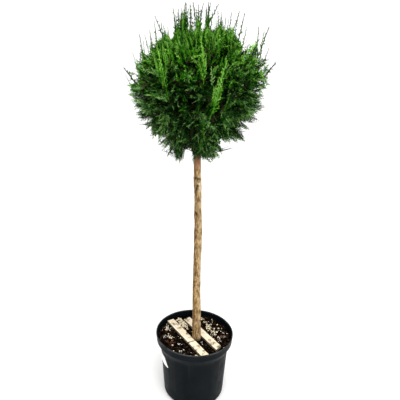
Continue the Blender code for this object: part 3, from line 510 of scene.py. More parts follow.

# Base colours of the foliage, from the hidden inside to the newest tips, for the crown's two halves. They
# carry painted light and shade: darker for the shaded inside, lighter for lit places, and the lower half's
# set is a greyer copy, painted as the shaded half
SHADES = (
    (0.0004, 0.0055, 0.0002),
    (0.0014, 0.0190, 0.0004),
    (0.0046, 0.0450, 0.0013),
    (0.0128, 0.0840, 0.0032),
    (0.0330, 0.1550, 0.0062),
    (0.0800, 0.2700, 0.0135),
    (0.1900, 0.4400, 0.0640),
)
LOWER_SHADES = (
    (0.0010, 0.0062, 0.0005),
    (0.0029, 0.0158, 0.0016),
    (0.0083, 0.0350, 0.0052),
    (0.0208, 0.0710, 0.0130),
    (0.0480, 0.1350, 0.0275),
    (0.1020, 0.2420, 0.0530),
    (0.2050, 0.4030, 0.1120),
)
SHADE_BORDER = 0.05  # how unevenly the two sets of shades meet at the crown's middle height
WITHERED = (0.0340, 0.0220, 0.0075)
WITHERED_CEILING = 0.01
WITHERED_SHARE = 0.024
WITHERED_LEVEL = 2.5  # only sprays darker than this are withered


# Short forms


def clamp(value):
    """The value, kept from 0 to 1."""
    return min(1.0, max(0.0, value))


def blend(ends, share):
    """The value at a share of the way from one end to the other."""
    low, high = ends
    return low + (high - low) * share


def hump(away):
    """1 in the middle, falling to almost 0 at a distance of 2."""
    return math.exp(-(away**2))


def tilt(along, side, angle):
    """A direction turned from along towards side."""
    return along * math.cos(angle) + side * math.sin(angle)


def rows(vectors):
    """An array with a row for each vector."""
    return np.array([tuple(vector) for vector in vectors])


def rough(place, scale, octaves=4, tall=1.0):
    """Fractal noise from about -1 to 1 at a place, with details of the size 1 / scale."""
    where = Vector((place[0], place[1], place[2] * tall)) * scale
    return noise.fractal(where, 0.9, 2.0, octaves, noise_basis="PERLIN_NEW")


# Meshes from arrays


def add_object(name, mesh, paints):
    """Link an object that holds the mesh and has these materials."""
    obj = bpy.data.objects.new(name, mesh)
    bpy.context.scene.collection.objects.link(obj)
    for paint in paints:
        mesh.materials.append(paint)
    return obj


def mesh_object(name, points, faces, paints, indices=None, smooth=True):
    """An object from arrays of points and of faces with equally many corners."""
    faces = np.asarray(faces, np.int32)
    count, corners = faces.shape
    mesh = bpy.data.meshes.new(name)
    mesh.vertices.add(len(points))
    mesh.vertices.foreach_set("co", np.asarray(points, np.float32).ravel())
    mesh.loops.add(count * corners)
    mesh.loops.foreach_set("vertex_index", faces.ravel())
    mesh.polygons.add(count)
    mesh.polygons.foreach_set("loop_start", np.arange(count, dtype=np.int32) * corners)
    if indices is not None:
        mesh.polygons.foreach_set("material_index", np.asarray(indices, np.int32))
    mesh.update(calc_edges=True)
    if smooth:
        mesh.shade_smooth()
    else:
        mesh.shade_flat()
    return add_object(name, mesh, paints)


def set_attribute(obj, name, values):
    """A number at each point of the mesh, for its material."""
    made = obj.data.attributes.new(name, "FLOAT", "POINT")
    made.data.foreach_set("value", np.array(values, np.float32))


def dress(obj, slot, *nodes):
    """The piece rides on the plant's one body and stands for these nodes, which it hides. slot, a finish of
    the record, is not used.
    """
    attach(obj, "root")
    if nodes:
        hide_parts(*nodes)
    return obj


def grid_faces(rings, sides, closed=True):
    """Quads between rings of equal size. A closed ring joins its last point to its first."""
    ring = np.arange(rings - 1)[:, None] * sides
    step = np.arange(sides if closed else sides - 1)[None, :]
    beside = (step + 1) % sides
    corners = [ring + step, ring + beside, ring + sides + beside, ring + sides + step]
    return np.stack([corner.ravel() for corner in corners], axis=1)


def split_quads(quads):
    """Two triangles for each quad."""
    return np.concatenate([quads[:, [0, 1, 2]], quads[:, [0, 2, 3]]])


def round_path(path, radii, sides):
    """Rings of points round a path. radii is one number for each ring, or one for each point."""
    path = rows(path)
    along = np.gradient(path, axis=0)
    along /= np.linalg.norm(along, axis=1)[:, None]
    radii = np.asarray(radii, float)
    if radii.ndim == 1:
        radii = np.repeat(radii[:, None], sides, axis=1)
    angles = np.arange(sides) * math.tau / sides
    side = np.array([1.0, 0.0, 0.0])
    if abs(along[0][0]) > 0.9:
        side = np.array([0.0, 1.0, 0.0])
    rings = []
    for centre, axis, radius in zip(path, along, radii):
        side = side - axis * side.dot(axis)
        side /= np.linalg.norm(side)
        across = np.cross(axis, side)
        ring = np.cos(angles)[:, None] * side + np.sin(angles)[:, None] * across
        rings.append(centre + ring * radius[:, None])
    return np.array(rings)


def capped_faces(rings, sides):
    """Triangles between rings of equal size, and fans to the two end points that follow the rings."""
    step = np.arange(sides)
    beside = (step + 1) % sides
    first = np.full(sides, rings * sides)
    top = (rings - 1) * sides
    return np.concatenate([
        split_quads(grid_faces(rings, sides)),
        np.stack([first, beside, step], axis=1),
        np.stack([first + 1, top + step, top + beside], axis=1),
    ])


def limb_arrays(path, radii, sides):
    """Points and triangles of a limb that is closed to a point at both ends."""
    rings = round_path(path, radii, sides)
    points = np.concatenate([rings.reshape(-1, 3), rings[0].mean(0)[None], rings[-1].mean(0)[None]])
    return points, capped_faces(len(rings), sides)


def join_arrays(parts):
    """One pair of arrays from several pairs of points and triangles."""
    starts = np.cumsum([0, *(len(points) for points, _ in parts)])
    faces = [faces + start for (_, faces), start in zip(parts, starts)]
    return np.concatenate([points for points, _ in parts]), np.concatenate(faces)


# Materials


class Paint:
    """A Principled material, and short ways to wire procedural nodes to it."""

    def __init__(self, name, colour, roughness, specular=0.5):
        self.material = bpy.data.materials.new(name)
        self.material.use_nodes = True
        self.tree = self.material.node_tree
        self.shader = self.tree.nodes["Principled BSDF"]
        self.shader.inputs["Base Color"].default_value = (*colour, 1.0)
        self.shader.inputs["Roughness"].default_value = roughness
        self.shader.inputs["Specular IOR Level"].default_value = specular
        self.normal = None

    def node(self, kind, **inputs):
        """A node with these input values; names are written with _ for a space."""
        made = self.tree.nodes.new(kind)
        for name, value in inputs.items():
            made.inputs[name.replace("_", " ")].default_value = value
        return made

    def link(self, output, target):
        """Wire an output to an input."""
        self.tree.links.new(output, target)

    def place(self, stretch=(1, 1, 1), turn=0.0):
        """The place on the object in metres, turned about Z by these degrees and stretched."""
        made = self.node("ShaderNodeTexCoord").outputs["Object"]
        if turn:
            turned = self.node("ShaderNodeVectorRotate", Angle=math.radians(turn))
            self.link(made, turned.inputs["Vector"])
            made = turned.outputs["Vector"]
        mapping = self.node("ShaderNodeMapping", Scale=stretch)
        self.link(made, mapping.inputs["Vector"])
        return mapping.outputs["Vector"]

    def noise(self, scale, detail=4.0, roughness=0.6, stretch=(1, 1, 1), turn=0.0, distortion=0.0):
        """Noise from 0 to 1 with details of the size 1 / scale."""
        made = self.node("ShaderNodeTexNoise", Scale=scale, Detail=detail, Roughness=roughness)
        made.inputs["Distortion"].default_value = distortion
        self.link(self.place(stretch, turn), made.inputs["Vector"])
        return made.outputs["Fac"]

    def above(self, low, high):
        """0 below the one height on the object and 1 above the other."""
        split = self.node("ShaderNodeSeparateXYZ")
        self.link(self.place(), split.inputs["Vector"])
        made = self.node("ShaderNodeMapRange", From_Min=low, From_Max=high)
        self.link(split.outputs["Z"], made.inputs["Value"])
        return made.outputs["Result"]

    def attribute(self, name):
        """A number that the mesh carries at each point."""
        made = self.node("ShaderNodeAttribute")
        made.attribute_name = name
        return made.outputs["Fac"]

    def ramp(self, factor, *stops):
        """Colours, or grey levels, by a factor."""
        made = self.node("ShaderNodeValToRGB")
        self.link(factor, made.inputs["Fac"])
        elements = made.color_ramp.elements
        while len(elements) < len(stops):
            elements.new(0.5)
        for element, (position, colour) in zip(elements, stops):
            element.position = position
            if isinstance(colour, float):
                colour = (colour, colour, colour)
            element.color = (*colour, 1.0)
        return made.outputs["Color"]

    def mix(self, factor, first, second, blend="MIX"):
        """Two colours mixed by a factor, which is an output or a number."""
        made = self.node("ShaderNodeMix")
        made.data_type = "RGBA"
        made.blend_type = blend
        sockets = [socket for socket in made.inputs if socket.enabled]
        for socket, value in zip(sockets, (factor, first, second)):
            if isinstance(value, bpy.types.NodeSocket):
                self.link(value, socket)
            elif isinstance(value, float):
                socket.default_value = value
            else:
                socket.default_value = (*value, 1.0)
        return next(socket for socket in made.outputs if socket.enabled)

    def colour(self, output):
        """Take the base colour from an output."""
        self.link(output, self.shader.inputs["Base Color"])

    def rough_from(self, output):
        """Take the roughness from an output."""
        self.link(output, self.shader.inputs["Roughness"])

    def bump(self, height, depth, strength=1.0):
        """Bumps of this depth in metres, on top of those made before."""
        made = self.node("ShaderNodeBump", Strength=strength, Distance=depth)
        self.link(height, made.inputs["Height"])
        if self.normal is not None:
            self.link(self.normal, made.inputs["Normal"])
        self.normal = made.outputs["Normal"]
        self.link(self.normal, self.shader.inputs["Normal"])


def paint_pot():
    """Black nursery plastic: satin, faintly mottled, dusty, scuffed, and painted lighter grey along the
    rim's top as a highlight.
    """
    paint = Paint("pot_plastic", (0.004, 0.006, 0.007), 0.5, 0.045)
    cloud = paint.noise(9.0, 3.0)
    body = paint.ramp(cloud, (0.35, (0.0016, 0.0032, 0.0044)), (0.70, (0.0036, 0.0062, 0.0080)))
    scuffs = paint.ramp(paint.noise(70.0, 6.0, 0.75, (1, 1, 0.12)), (0.56, 0.0), (0.80, 1.0))
    body = paint.mix(scuffs, body, (0.0095, 0.0120, 0.0132))
    dust = paint.ramp(paint.noise(420.0, 3.0, 0.7), (0.68, 0.0), (0.75, 1.0))
    body = paint.mix(dust, body, (0.026, 0.025, 0.022))
    # painted highlight: the rim's top is painted lighter grey
    rim_highlight_mask = paint.above(POT_HEIGHT - 0.75 * BEAD_DEPTH, POT_HEIGHT - 0.35 * BEAD_DEPTH)
    rim_highlight = paint.ramp(
        paint.noise(24.0, 4.0), (0.36, (0.016, 0.019, 0.020)), (0.60, (0.056, 0.060, 0.060))
    )
    paint.colour(paint.mix(rim_highlight_mask, body, rim_highlight))
    paint.rough_from(paint.ramp(paint.noise(38.0, 5.0), (0.3, 0.38), (0.75, 0.60)))
    paint.bump(paint.noise(260.0, 3.0), 0.00012)
    return paint.material


def paint_compost():
    """Dark moist bark and peat."""
    paint = Paint("compost", (0.008, 0.004, 0.002), 0.9, 0.0)
    crumbs = paint.noise(330.0, 5.0, 0.7)
    paint.colour(paint.ramp(
        crumbs,
        (0.38, (0.0005, 0.0003, 0.0002)),
        (0.56, (0.0030, 0.0016, 0.0008)),
        (0.70, (0.0170, 0.0085, 0.0045)),
        (0.82, (0.0900, 0.0520, 0.0270)),
    ))
    paint.bump(crumbs, 0.0010)
    return paint.material


def paint_chip(name, dark, light, roughness=0.85):
    """One kind of chip or grain in the compost."""
    paint = Paint(name, light, roughness, 0.05)
    paint.colour(paint.ramp(paint.noise(480.0, 4.0, 0.7), (0.32, dark), (0.62, light)))
    paint.bump(paint.noise(900.0, 3.0), 0.00025)
    return paint.material


def paint_wood(name, angle):
    """Rough sawn pale softwood, soiled in places, and painted darker as shade on its sides and at the
    crack's gaping near edge. The grain runs at this angle.
    """
    paint = Paint(name, (0.72, 0.60, 0.42), 0.8, 0.25)

    def grain(scale, stretch, detail=5.0):
        """Noise drawn out along the grain."""
        return paint.noise(scale, detail, 0.62, stretch, -angle, 0.4)

    fibres = grain(330.0, (0.06, 1, 1))
    wood = paint.ramp(
        fibres, (0.28, (0.48, 0.35, 0.20)), (0.42, (0.78, 0.65, 0.45)), (0.62, (0.92, 0.84, 0.69))
    )
    warm = paint.ramp(grain(26.0, (0.5, 1, 1), 3.0), (0.46, 0.0), (0.72, 0.40))
    wood = paint.mix(warm, wood, (0.90, 0.68, 0.43))
    dark_patch = paint.ramp(grain(95.0, (0.8, 1, 1), 6.0), (0.62, 0.0), (0.70, 0.80))
    wood = paint.mix(dark_patch, wood, (0.085, 0.066, 0.050))
    # the mark is soil, and painted shade on the slats' sides and at the crack's gaping near edge
    paint.colour(paint.mix(paint.attribute("soil_and_shade_mark"), wood, (0.066, 0.048, 0.028)))
    paint.bump(fibres, 0.0005)
    return paint.material


def paint_label():
    """White film with a blank face, a little soiled."""
    paint = Paint("label_film", (0.86, 0.86, 0.85), 0.42, 0.5)
    soil = paint.ramp(paint.noise(60.0, 5.0, 0.7), (0.60, 0.0), (0.85, 0.5))
    paint.colour(paint.mix(soil, (0.88, 0.88, 0.87), (0.55, 0.52, 0.47)))
    paint.bump(paint.noise(45.0, 2.0), 0.0002)
    return paint.material


def paint_bark():
    """Tan bark: pale plates, brown furrows and dark cuts, red and then painted dark as the crown's shade up
    in the crown, painted paler as a highlight on its lit side and darker as shade on the other.
    """
    paint = Paint("bark", (0.36, 0.24, 0.12), 0.85, 0.25)
    plates = paint.noise(210.0, 6.0, 0.68, (1, 1, 0.30))
    tan = paint.ramp(
        plates,
        (0.34, (0.045, 0.024, 0.009)),
        (0.45, (0.185, 0.102, 0.034)),
        (0.57, (0.430, 0.280, 0.115)),
        (0.68, (0.740, 0.570, 0.310)),
    )
    rust = paint.ramp(paint.noise(34.0, 4.0, 0.6, (1, 1, 0.5)), (0.44, 0.0), (0.68, 0.50))
    tan = paint.mix(rust, tan, (0.225, 0.108, 0.036))
    # painted highlight: the trunk's lit side is painted paler
    tan = paint.mix(paint.attribute("pale"), tan, (0.900, 0.730, 0.460))
    upper = paint.attribute("upper")
    tan = paint.mix(paint.ramp(upper, (0.0, 0.0), (0.40, 0.72)), tan, (0.300, 0.130, 0.060))
    # painted shade: the trunk's top, under the crown, is painted dark olive
    tan = paint.mix(paint.ramp(upper, (0.55, 0.0), (0.95, 0.85)), tan, (0.032, 0.032, 0.010))
    # the furrow mark also carries the cuts, scars and collars, and the painted shade on the trunk's shaded
    # side
    tan = paint.mix(paint.attribute("furrow"), tan, (0.040, 0.023, 0.008))
    low, high = (SOIL_LEVEL + height for height in SOILED_FOOT)
    tan = paint.mix(paint.above(low, high), tan, (0.062, 0.040, 0.024))
    paint.colour(tan)
    paint.bump(paint.noise(520.0, 5.0, 0.7, (1, 1, 0.45)), 0.0006)
    return paint.material


def paint_twig(name, dark, light):
    """Bark of a bough or twig."""
    paint = Paint(name, light, 0.8, 0.25)
    paint.colour(paint.ramp(paint.noise(260.0, 4.0, 0.65, (1, 1, 0.5)), (0.34, dark), (0.66, light)))
    paint.bump(paint.noise(700.0, 4.0), 0.0003)
    return paint.material


def paint_leaf(name, colour):
    """Scale leaves of one plain colour, waxy, with a relief of overlapping scales."""
    paint = Paint(name, colour, 0.6, 0.015)
    paint.rough_from(paint.ramp(paint.noise(160.0, 3.0), (0.3, 0.50), (0.7, 0.75)))
    paint.bump(paint.noise(820.0, 2.0), 0.00035)
    return paint.material


# Lines of sight


def sight_line(pixel):
    """The direction in which the camera sees a pixel of the photograph."""
    across = (pixel[0] - PRINCIPAL_X) / FOCAL_PIXELS
    above = (PHOTO_PIXELS / 2 - pixel[1]) / FOCAL_PIXELS
    pitch = math.radians(CAMERA_PITCH)
    ahead = Vector((0.0, math.cos(pitch), -math.sin(pitch)))
    upward = Vector((0.0, math.sin(pitch), math.cos(pitch)))
    return (ahead + Vector((across, 0.0, 0.0)) + upward * above).normalized()


def seen_at(pixel, y=None, z=None):
    """The place at this depth, or else at this height, that the camera sees at a pixel."""
    line = sight_line(pixel)
    if z is None:
        return CAMERA_PLACE + line * ((y - CAMERA_PLACE.y) / line.y)
    return CAMERA_PLACE + line * ((z - CAMERA_PLACE.z) / line.z)


def photo_pixel(point):
    """The pixel of the photograph at which the camera sees a point."""
    pitch = math.radians(CAMERA_PITCH)
    away = point - CAMERA_PLACE
    ahead = away.y * math.cos(pitch) - away.z * math.sin(pitch)
    upward = away.y * math.sin(pitch) + away.z * math.cos(pitch)
    return PRINCIPAL_X + FOCAL_PIXELS * away.x / ahead, PHOTO_PIXELS / 2 - FOCAL_PIXELS * upward / ahead


# The pot and what lies in it


def arc_points(centre, radius, start, end, steps):
    """Points on an arc, as radius and height."""
    for step in range(steps + 1):
        angle = math.radians(start + (end - start) * step / steps)
        yield centre[0] + radius * math.cos(angle), centre[1] + radius * math.sin(angle)


def line_points(start, end, steps):
    """Points on a line without its first point."""
    for step in range(1, steps + 1):
        share = step / steps
        yield start[0] + (end[0] - start[0]) * share, start[1] + (end[1] - start[1]) * share


def inner_radius(height):
    """The radius of the pot's inner wall at a height."""
    heights = (FOOT_ROUNDING, SHOULDER_HEIGHT, COLLAR_BOTTOM, POT_HEIGHT)
    radii = [radius - WALL for radius in (FOOT_RADIUS, SHOULDER_RADIUS, COLLAR_RADIUS, RIM_RADIUS)]
    return float(np.interp(height, heights, radii))


def body_radius(height):
    """The radius of the pot's outer wall below the shoulder."""
    return float(np.interp(height, (FOOT_ROUNDING, SHOULDER_HEIGHT), (FOOT_RADIUS, SHOULDER_RADIUS)))


def pot_profile():
    """The pot's section, from the middle of its underside out, up, over the rim and back down inside."""
    foot = (FOOT_RADIUS - FOOT_ROUNDING, FOOT_ROUNDING)
    foot_top = (FOOT_RADIUS, FOOT_ROUNDING)
    shoulder = (SHOULDER_RADIUS, SHOULDER_HEIGHT)
    bead_bottom = (RIM_RADIUS - LIP, POT_HEIGHT - BEAD_DEPTH)
    rim = (RIM_RADIUS - 2 * RIM_BEAD, POT_HEIGHT - RIM_BEAD)
    return [
        (0.0, 0.0), (0.040, 0.0), (0.070, 0.0),
        *arc_points(foot, FOOT_ROUNDING, -90, 0, 8),
        *line_points(foot_top, shoulder, 16),
        *line_points(shoulder, (COLLAR_RADIUS - COLLAR_LEDGE, COLLAR_BOTTOM - LIP), 5),
        *arc_points((COLLAR_RADIUS - LIP, COLLAR_BOTTOM + LIP), LIP, -90, 0, 4),
        *line_points((COLLAR_RADIUS, COLLAR_BOTTOM + LIP), bead_bottom, 4),
        *line_points(bead_bottom, (RIM_RADIUS, POT_HEIGHT - BEAD_DEPTH + 2 * LIP), 2),
        *arc_points((RIM_RADIUS - RIM_BEAD, POT_HEIGHT - RIM_BEAD), RIM_BEAD, 0, 180, 10),
        *line_points(rim, (COLLAR_RADIUS - WALL, COLLAR_BOTTOM), 4),
        (SHOULDER_RADIUS - WALL, SHOULDER_HEIGHT),
        (FOOT_RADIUS - WALL, FOOT_ROUNDING),
        (FOOT_RADIUS - FOOT_ROUNDING, FLOOR_THICKNESS),
        (0.0, FLOOR_THICKNESS),
    ]


def panel_relief(angle, radius, height):
    """How far the pot's wall lies in, between the faint upright panels of its body."""
    if not 2 * FOOT_ROUNDING < height < SHOULDER_HEIGHT or radius < body_radius(height) - WALL / 2:
        return 0.0
    share = (math.degrees(angle) + 90 + PANEL_TURN) * PANELS / 360 % 1
    edge = min(share, PANEL_SHARE - share) if share < PANEL_SHARE else -min(share - PANEL_SHARE, 1 - share)
    low_fade, high_fade = PANEL_FADES
    fade = min(1.0, (height - 2 * FOOT_ROUNDING) / low_fade, (SHOULDER_HEIGHT - height) / high_fade)
    return -PANEL_RELIEF * fade * (0.5 - 0.5 * math.tanh(edge * PANEL_EDGE))


def lathe_object(name, profile, sides, paints, shape=None):
    """Turn a section that begins and ends on the axis. shape can change a point's radius."""
    mesh = bpy.data.meshes.new(name)
    built = bmesh.new()
    rings = []
    for radius, height in profile:
        ring = []
        for step in range(sides if radius > 0 else 1):
            angle = math.tau * step / sides
            reach = radius + (shape(angle, radius, height) if shape else 0.0)
            ring.append(built.verts.new((reach * math.cos(angle), reach * math.sin(angle), height)))
        rings.append(ring)
    for low, high in zip(rings, rings[1:]):
        for step in range(sides):
            beside = step + 1
            corners = [low[step % len(low)], low[beside % len(low)]]
            corners += [high[beside % len(high)], high[step % len(high)]]
            built.faces.new(list(dict.fromkeys(corners)))
    built.to_mesh(mesh)
    built.free()
    mesh.shade_smooth()
    mesh.set_sharp_from_angle(angle=math.radians(SHARP_ANGLE))
    return add_object(name, mesh, paints)


def cut_drain_holes(pot):
    """Cut the holes in the pot's floor, and apply the cut."""
    shape = bmesh.new()
    sizes = {"radius1": DRAIN_RADIUS, "radius2": DRAIN_RADIUS, "depth": 4 * FLOOR_THICKNESS}
    for hole in range(DRAIN_HOLES):
        angle = math.tau * (hole + 0.5) / DRAIN_HOLES
        place = Matrix.Translation((DRAIN_CIRCLE * math.cos(angle), DRAIN_CIRCLE * math.sin(angle), 0.0))
        bmesh.ops.create_cone(shape, cap_ends=True, segments=24, matrix=place, **sizes)
    mesh = bpy.data.meshes.new("drain_cutter")
    shape.to_mesh(mesh)
    shape.free()
    cutter = add_object("drain_cutter", mesh, [])
    modifier = pot.modifiers.new("Drainage", "BOOLEAN")
    modifier.operation = "DIFFERENCE"
    modifier.solver = "EXACT"
    modifier.object = cutter
    bpy.context.view_layer.update()
    cut = bpy.data.meshes.new_from_object(pot.evaluated_get(bpy.context.evaluated_depsgraph_get()))
    pot.modifiers.clear()
    pot.data = cut
    bpy.data.objects.remove(cutter)


def make_pot():
    """The moulded pot, open at the top, with holes in its floor."""
    pot = lathe_object("pot_moulded", pot_profile(), POT_SIDES, [paint_pot()], panel_relief)
    cut_drain_holes(pot)
    dress(pot, "pot_plastic", "pot")


def soil_height(x, y):
    """The height of the compost's uneven top, a little heaped against the trunk."""
    large, small = SOIL_LUMPS
    lumps = rough((x, y, 0.0), large) + 0.5 * rough((x, y, 3.0), small)
    _, foot_x, foot_y, foot_radius = TRUNK_STATIONS[0]
    high, spread = MOUND
    mound = high * hump((math.hypot(x - foot_x, y - foot_y) - foot_radius) / spread)
    slope_from, slope_over = EDGE_SLOPE
    edge_drop = EDGE_DROP * max(0.0, math.hypot(x, y) / inner_radius(SOIL_LEVEL) - slope_from) / slope_over
    heap_from, heap_over = HEAP_SLOPE
    heap = SOIL_HEAP * clamp((y - heap_from) / heap_over)
    return SOIL_LEVEL - SOIL_SUNK + SOIL_ROUGHNESS * 0.55 * lumps + mound + heap - edge_drop


def make_soil():
    """The compost: a crumbly top over a body that fills the pot."""
    low = FLOOR_THICKNESS + GAP
    edge = inner_radius(SOIL_LEVEL - SOIL_ROUGHNESS) - SOIL_CLEARANCE
    profile = [
        (0.0, low),
        (FOOT_RADIUS - FOOT_ROUNDING - SOIL_CLEARANCE, low),
        (inner_radius(FOOT_ROUNDING) - SOIL_CLEARANCE, FOOT_ROUNDING + SOIL_CLEARANCE),
        (inner_radius(SHOULDER_HEIGHT) - SOIL_CLEARANCE, SHOULDER_HEIGHT),
    ]
    profile += [(edge * (SOIL_RINGS - ring) / SOIL_RINGS, SOIL_LEVEL) for ring in range(SOIL_RINGS + 1)]
    soil = lathe_object("compost_body", profile, SOIL_SIDES, [paint_compost()])
    for vertex in soil.data.vertices:
        if vertex.co.z > SHOULDER_HEIGHT + SOIL_ROUGHNESS:
            vertex.co.z = soil_height(vertex.co.x, vertex.co.y)
    dress(soil, "compost", "soil")


def under_slat(x, y, margin):
    """True where a slat or the trunk covers the compost."""
    _, foot_x, foot_y, foot_radius = TRUNK_STATIONS[0]
    if math.hypot(x - foot_x, y - foot_y) < foot_radius + margin:
        return True
    for offset, angle in ((-SLAT_OFFSET, FRONT_SLAT_ANGLE), (SLAT_OFFSET, BACK_SLAT_ANGLE)):
        turn = math.radians(angle)
        across = -x * math.sin(turn) + y * math.cos(turn)
        if abs(across - offset) < SLAT_WIDTH / 2 + margin:
            return True
    return False


def chip_arrays(centre, size, flatness, rng):
    """One lump: an icosahedron with uneven corners, flattened and turned at random."""
    golden = (1 + math.sqrt(5)) / 2
    corners = [
        corner
        for first in (-1, 1)
        for second in (-golden, golden)
        for corner in ((0, first, second), (first, second, 0), (second, 0, first))
    ]
    corners = [Vector(corner).normalized() * rng.uniform(0.65, 1.25) for corner in corners]
    longer = rng.uniform(1.0, 1.7)
    turn = Matrix.Rotation(rng.uniform(0, math.tau), 3, "Z")
    turn = turn @ Matrix.Rotation(rng.uniform(-0.6, 0.6), 3, "X")
    flattened = [Vector((corner.x * longer, corner.y, corner.z * flatness)) for corner in corners]
    return [turn @ corner * size + centre for corner in flattened]


def make_chips():
    """Bark chips, perlite and grit that lie on the compost, one material for each kind."""
    rng = random.Random(CHIP_SEED)
    hull = bmesh.new()
    for corner in chip_arrays(Vector(), 1.0, 1.0, random.Random(HULL_SEED)):
        hull.verts.new(corner.normalized())
    bmesh.ops.convex_hull(hull, input=hull.verts)
    hull.verts.index_update()
    faces = np.array([[vertex.index for vertex in face.verts] for face in hull.faces], np.int32)
    hull.free()
    parts = []
    indices = []
    limit = inner_radius(SOIL_LEVEL)
    for number, kind in enumerate(CHIPS):
        placed = 0
        while placed < kind.count:
            if kind.spots and rng.random() < SPOT_SHARE:
                spot = seen_at(rng.choice(kind.spots), z=SOIL_LEVEL)
                x = rng.gauss(spot.x, SPOT_SPREAD)
                y = rng.gauss(spot.y, SPOT_SPREAD)
            else:
                angle = rng.uniform(0, math.tau)
                reach = limit * math.sqrt(rng.random())
                x = reach * math.cos(angle)
                y = reach * math.sin(angle)
            size = rng.uniform(*kind.sizes)
            edge = WALL_SHADE if kind.spots else 1.5 * size
            if math.hypot(x, y) > limit - edge or under_slat(x, y, size):
                continue
            centre = Vector((x, y, soil_height(x, y) + size * kind.flatness * rng.uniform(0.1, 0.6)))
            parts.append((rows(chip_arrays(centre, size, kind.flatness, rng)), faces))
            indices += [number] * len(faces)
            placed += 1
    points, triangles = join_arrays(parts)
    paints = [paint_chip("chip_" + kind.name, kind.dark, kind.light) for kind in CHIPS]
    dress(mesh_object("compost_chips", points, triangles, paints, indices, smooth=False), "compost")


def slat_section():
    """The slat's section as points across and up, with rounded sawn edges."""
    half = SLAT_WIDTH / 2
    edge = SLAT_ROUNDING
    across = [half - edge - (SLAT_WIDTH - 2 * edge) * step / 10 for step in range(11)]
    up = [edge + (SLAT_THICKNESS - 2 * edge) * step / 4 for step in range(5)]
    section = [(half, height) for height in up]
    section += [(offset, SLAT_THICKNESS) for offset in across]
    section += [(-half, height) for height in reversed(up)]
    section += [(offset, 0.0) for offset in reversed(across)]
    return section


def soil_and_shade_at(place):
    """How dark the slats' tops are at a place, from 0 to 1: soil, and painted shade at the crack's gaping
    near edge.
    """
    most = 0.0
    for *pixel, radius in SOIL_AND_SHADE_SPOTS:
        spot = seen_at(pixel, z=SOIL_LEVEL + SLAT_THICKNESS)
        most = max(most, 1 - math.hypot(place.x - spot.x, place.y - spot.y) / radius)
    return most


def make_slat(node, start, end, offset, angle, paint):
    """A length of sawn wood. start and end are its ends along its back and front edges."""
    section = slat_section()
    half = SLAT_WIDTH / 2
    turn = Matrix.Rotation(math.radians(angle), 3, "Z")
    points = []
    marks = []
    for step in range(SLAT_STEPS + 1):
        share = step / SLAT_STEPS
        for across, height in section:
            side = (across + half) / SLAT_WIDTH
            first = blend(start, side)
            last = blend(end, side)
            nearness = 1 - min(share, 1 - share) * SLAT_STEPS / 2
            fray = SLAT_FRAY * max(0.0, nearness) * rough((across, height, first), GRAIN_SCALE)
            along = first + (last - first) * share + fray
            ridge = GRAIN_RELIEF * rough((along * GRAIN_STRETCH, across, height), GRAIN_SCALE)
            ridge += SAW_RELIEF * math.sin(along * SAW_MARKS)
            wane = WANE * max(0.0, rough((along, 0.7 if across > 0 else 0.2, offset), WANE_SCALE))
            inward = -wane * (across / half) ** 7
            rise = ridge if height > SLAT_THICKNESS / 2 else 0.0
            crack_darkening = 0.0
            if offset < 0:
                middle = CRACK_POSITION - CRACK_SLANT * (1 - side)
                nearby = max(0.0, 1 - abs(along - middle) / CRACK_DARK_REACH)
                # darker in and beside the crack
                crack_darkening = min(1.0, 1.6 * nearby)
                if height > SLAT_THICKNESS / 2:
                    rise -= CRACK_DEPTH * nearby**2
                bump, half_length, high = BUMP
                if across > half - 0.002:
                    inward += high * max(0.0, 1 - ((along - bump) / half_length) ** 4)
            place = turn @ Vector((along, offset + across + inward, 0.0))
            points.append((place.x, place.y, SOIL_LEVEL + GAP + height + rise))
            # the sides and underside are darker: painted shade on the sides, and soil
            low = 1.0 if height < SLAT_THICKNESS - 0.0005 else 0.0
            mark_strength = 0.90 + 0.5 * rough((along, across, height), 130.0)
            patch = max(0.0, rough((along, across * 0.6, offset), 52.0) - 0.34) * 2.2
            dark_patch = soil_and_shade_at(place) * (1.1 + 1.8 * rough((along, across, 1.0), 260.0))
            marks.append(clamp(max(low * mark_strength, patch * mark_strength, dark_patch, crack_darkening)))
    count = len(section)
    fan = np.array([(0, corner, corner + 1) for corner in range(1, count - 1)])
    sides = split_quads(grid_faces(SLAT_STEPS + 1, count))
    faces = np.concatenate([sides, fan[:, ::-1], fan + SLAT_STEPS * count])
    slat = mesh_object(node + "_sawn", points, faces, [paint])
    slat.data.set_sharp_from_angle(angle=math.radians(SLAT_SHARP_ANGLE))
    set_attribute(slat, "soil_and_shade_mark", marks)
    dress(slat, "sawn_wood", node)


def make_slats():
    """The whole slat behind the trunk, and the two lengths of the cracked one in front."""
    front = (-SLAT_OFFSET, FRONT_SLAT_ANGLE, paint_wood("sawn_wood_front", FRONT_SLAT_ANGLE))
    back = (SLAT_OFFSET, BACK_SLAT_ANGLE, paint_wood("sawn_wood_back", BACK_SLAT_ANGLE))
    near = CRACK_POSITION - CRACK_WIDTH / 2
    far = CRACK_POSITION + CRACK_WIDTH / 2
    start, end = FRONT_SLAT_ENDS
    make_slat("slat_front_long", (start, start), (near - CRACK_SLANT - CRACK_OPENING, near), *front)
    make_slat("slat_front_short", (far - CRACK_SLANT, far), (end, end), *front)
    start, end = BACK_SLAT_ENDS
    make_slat("slat_back", (start, start), (end, end - BACK_SLAT_SLANT), *back)


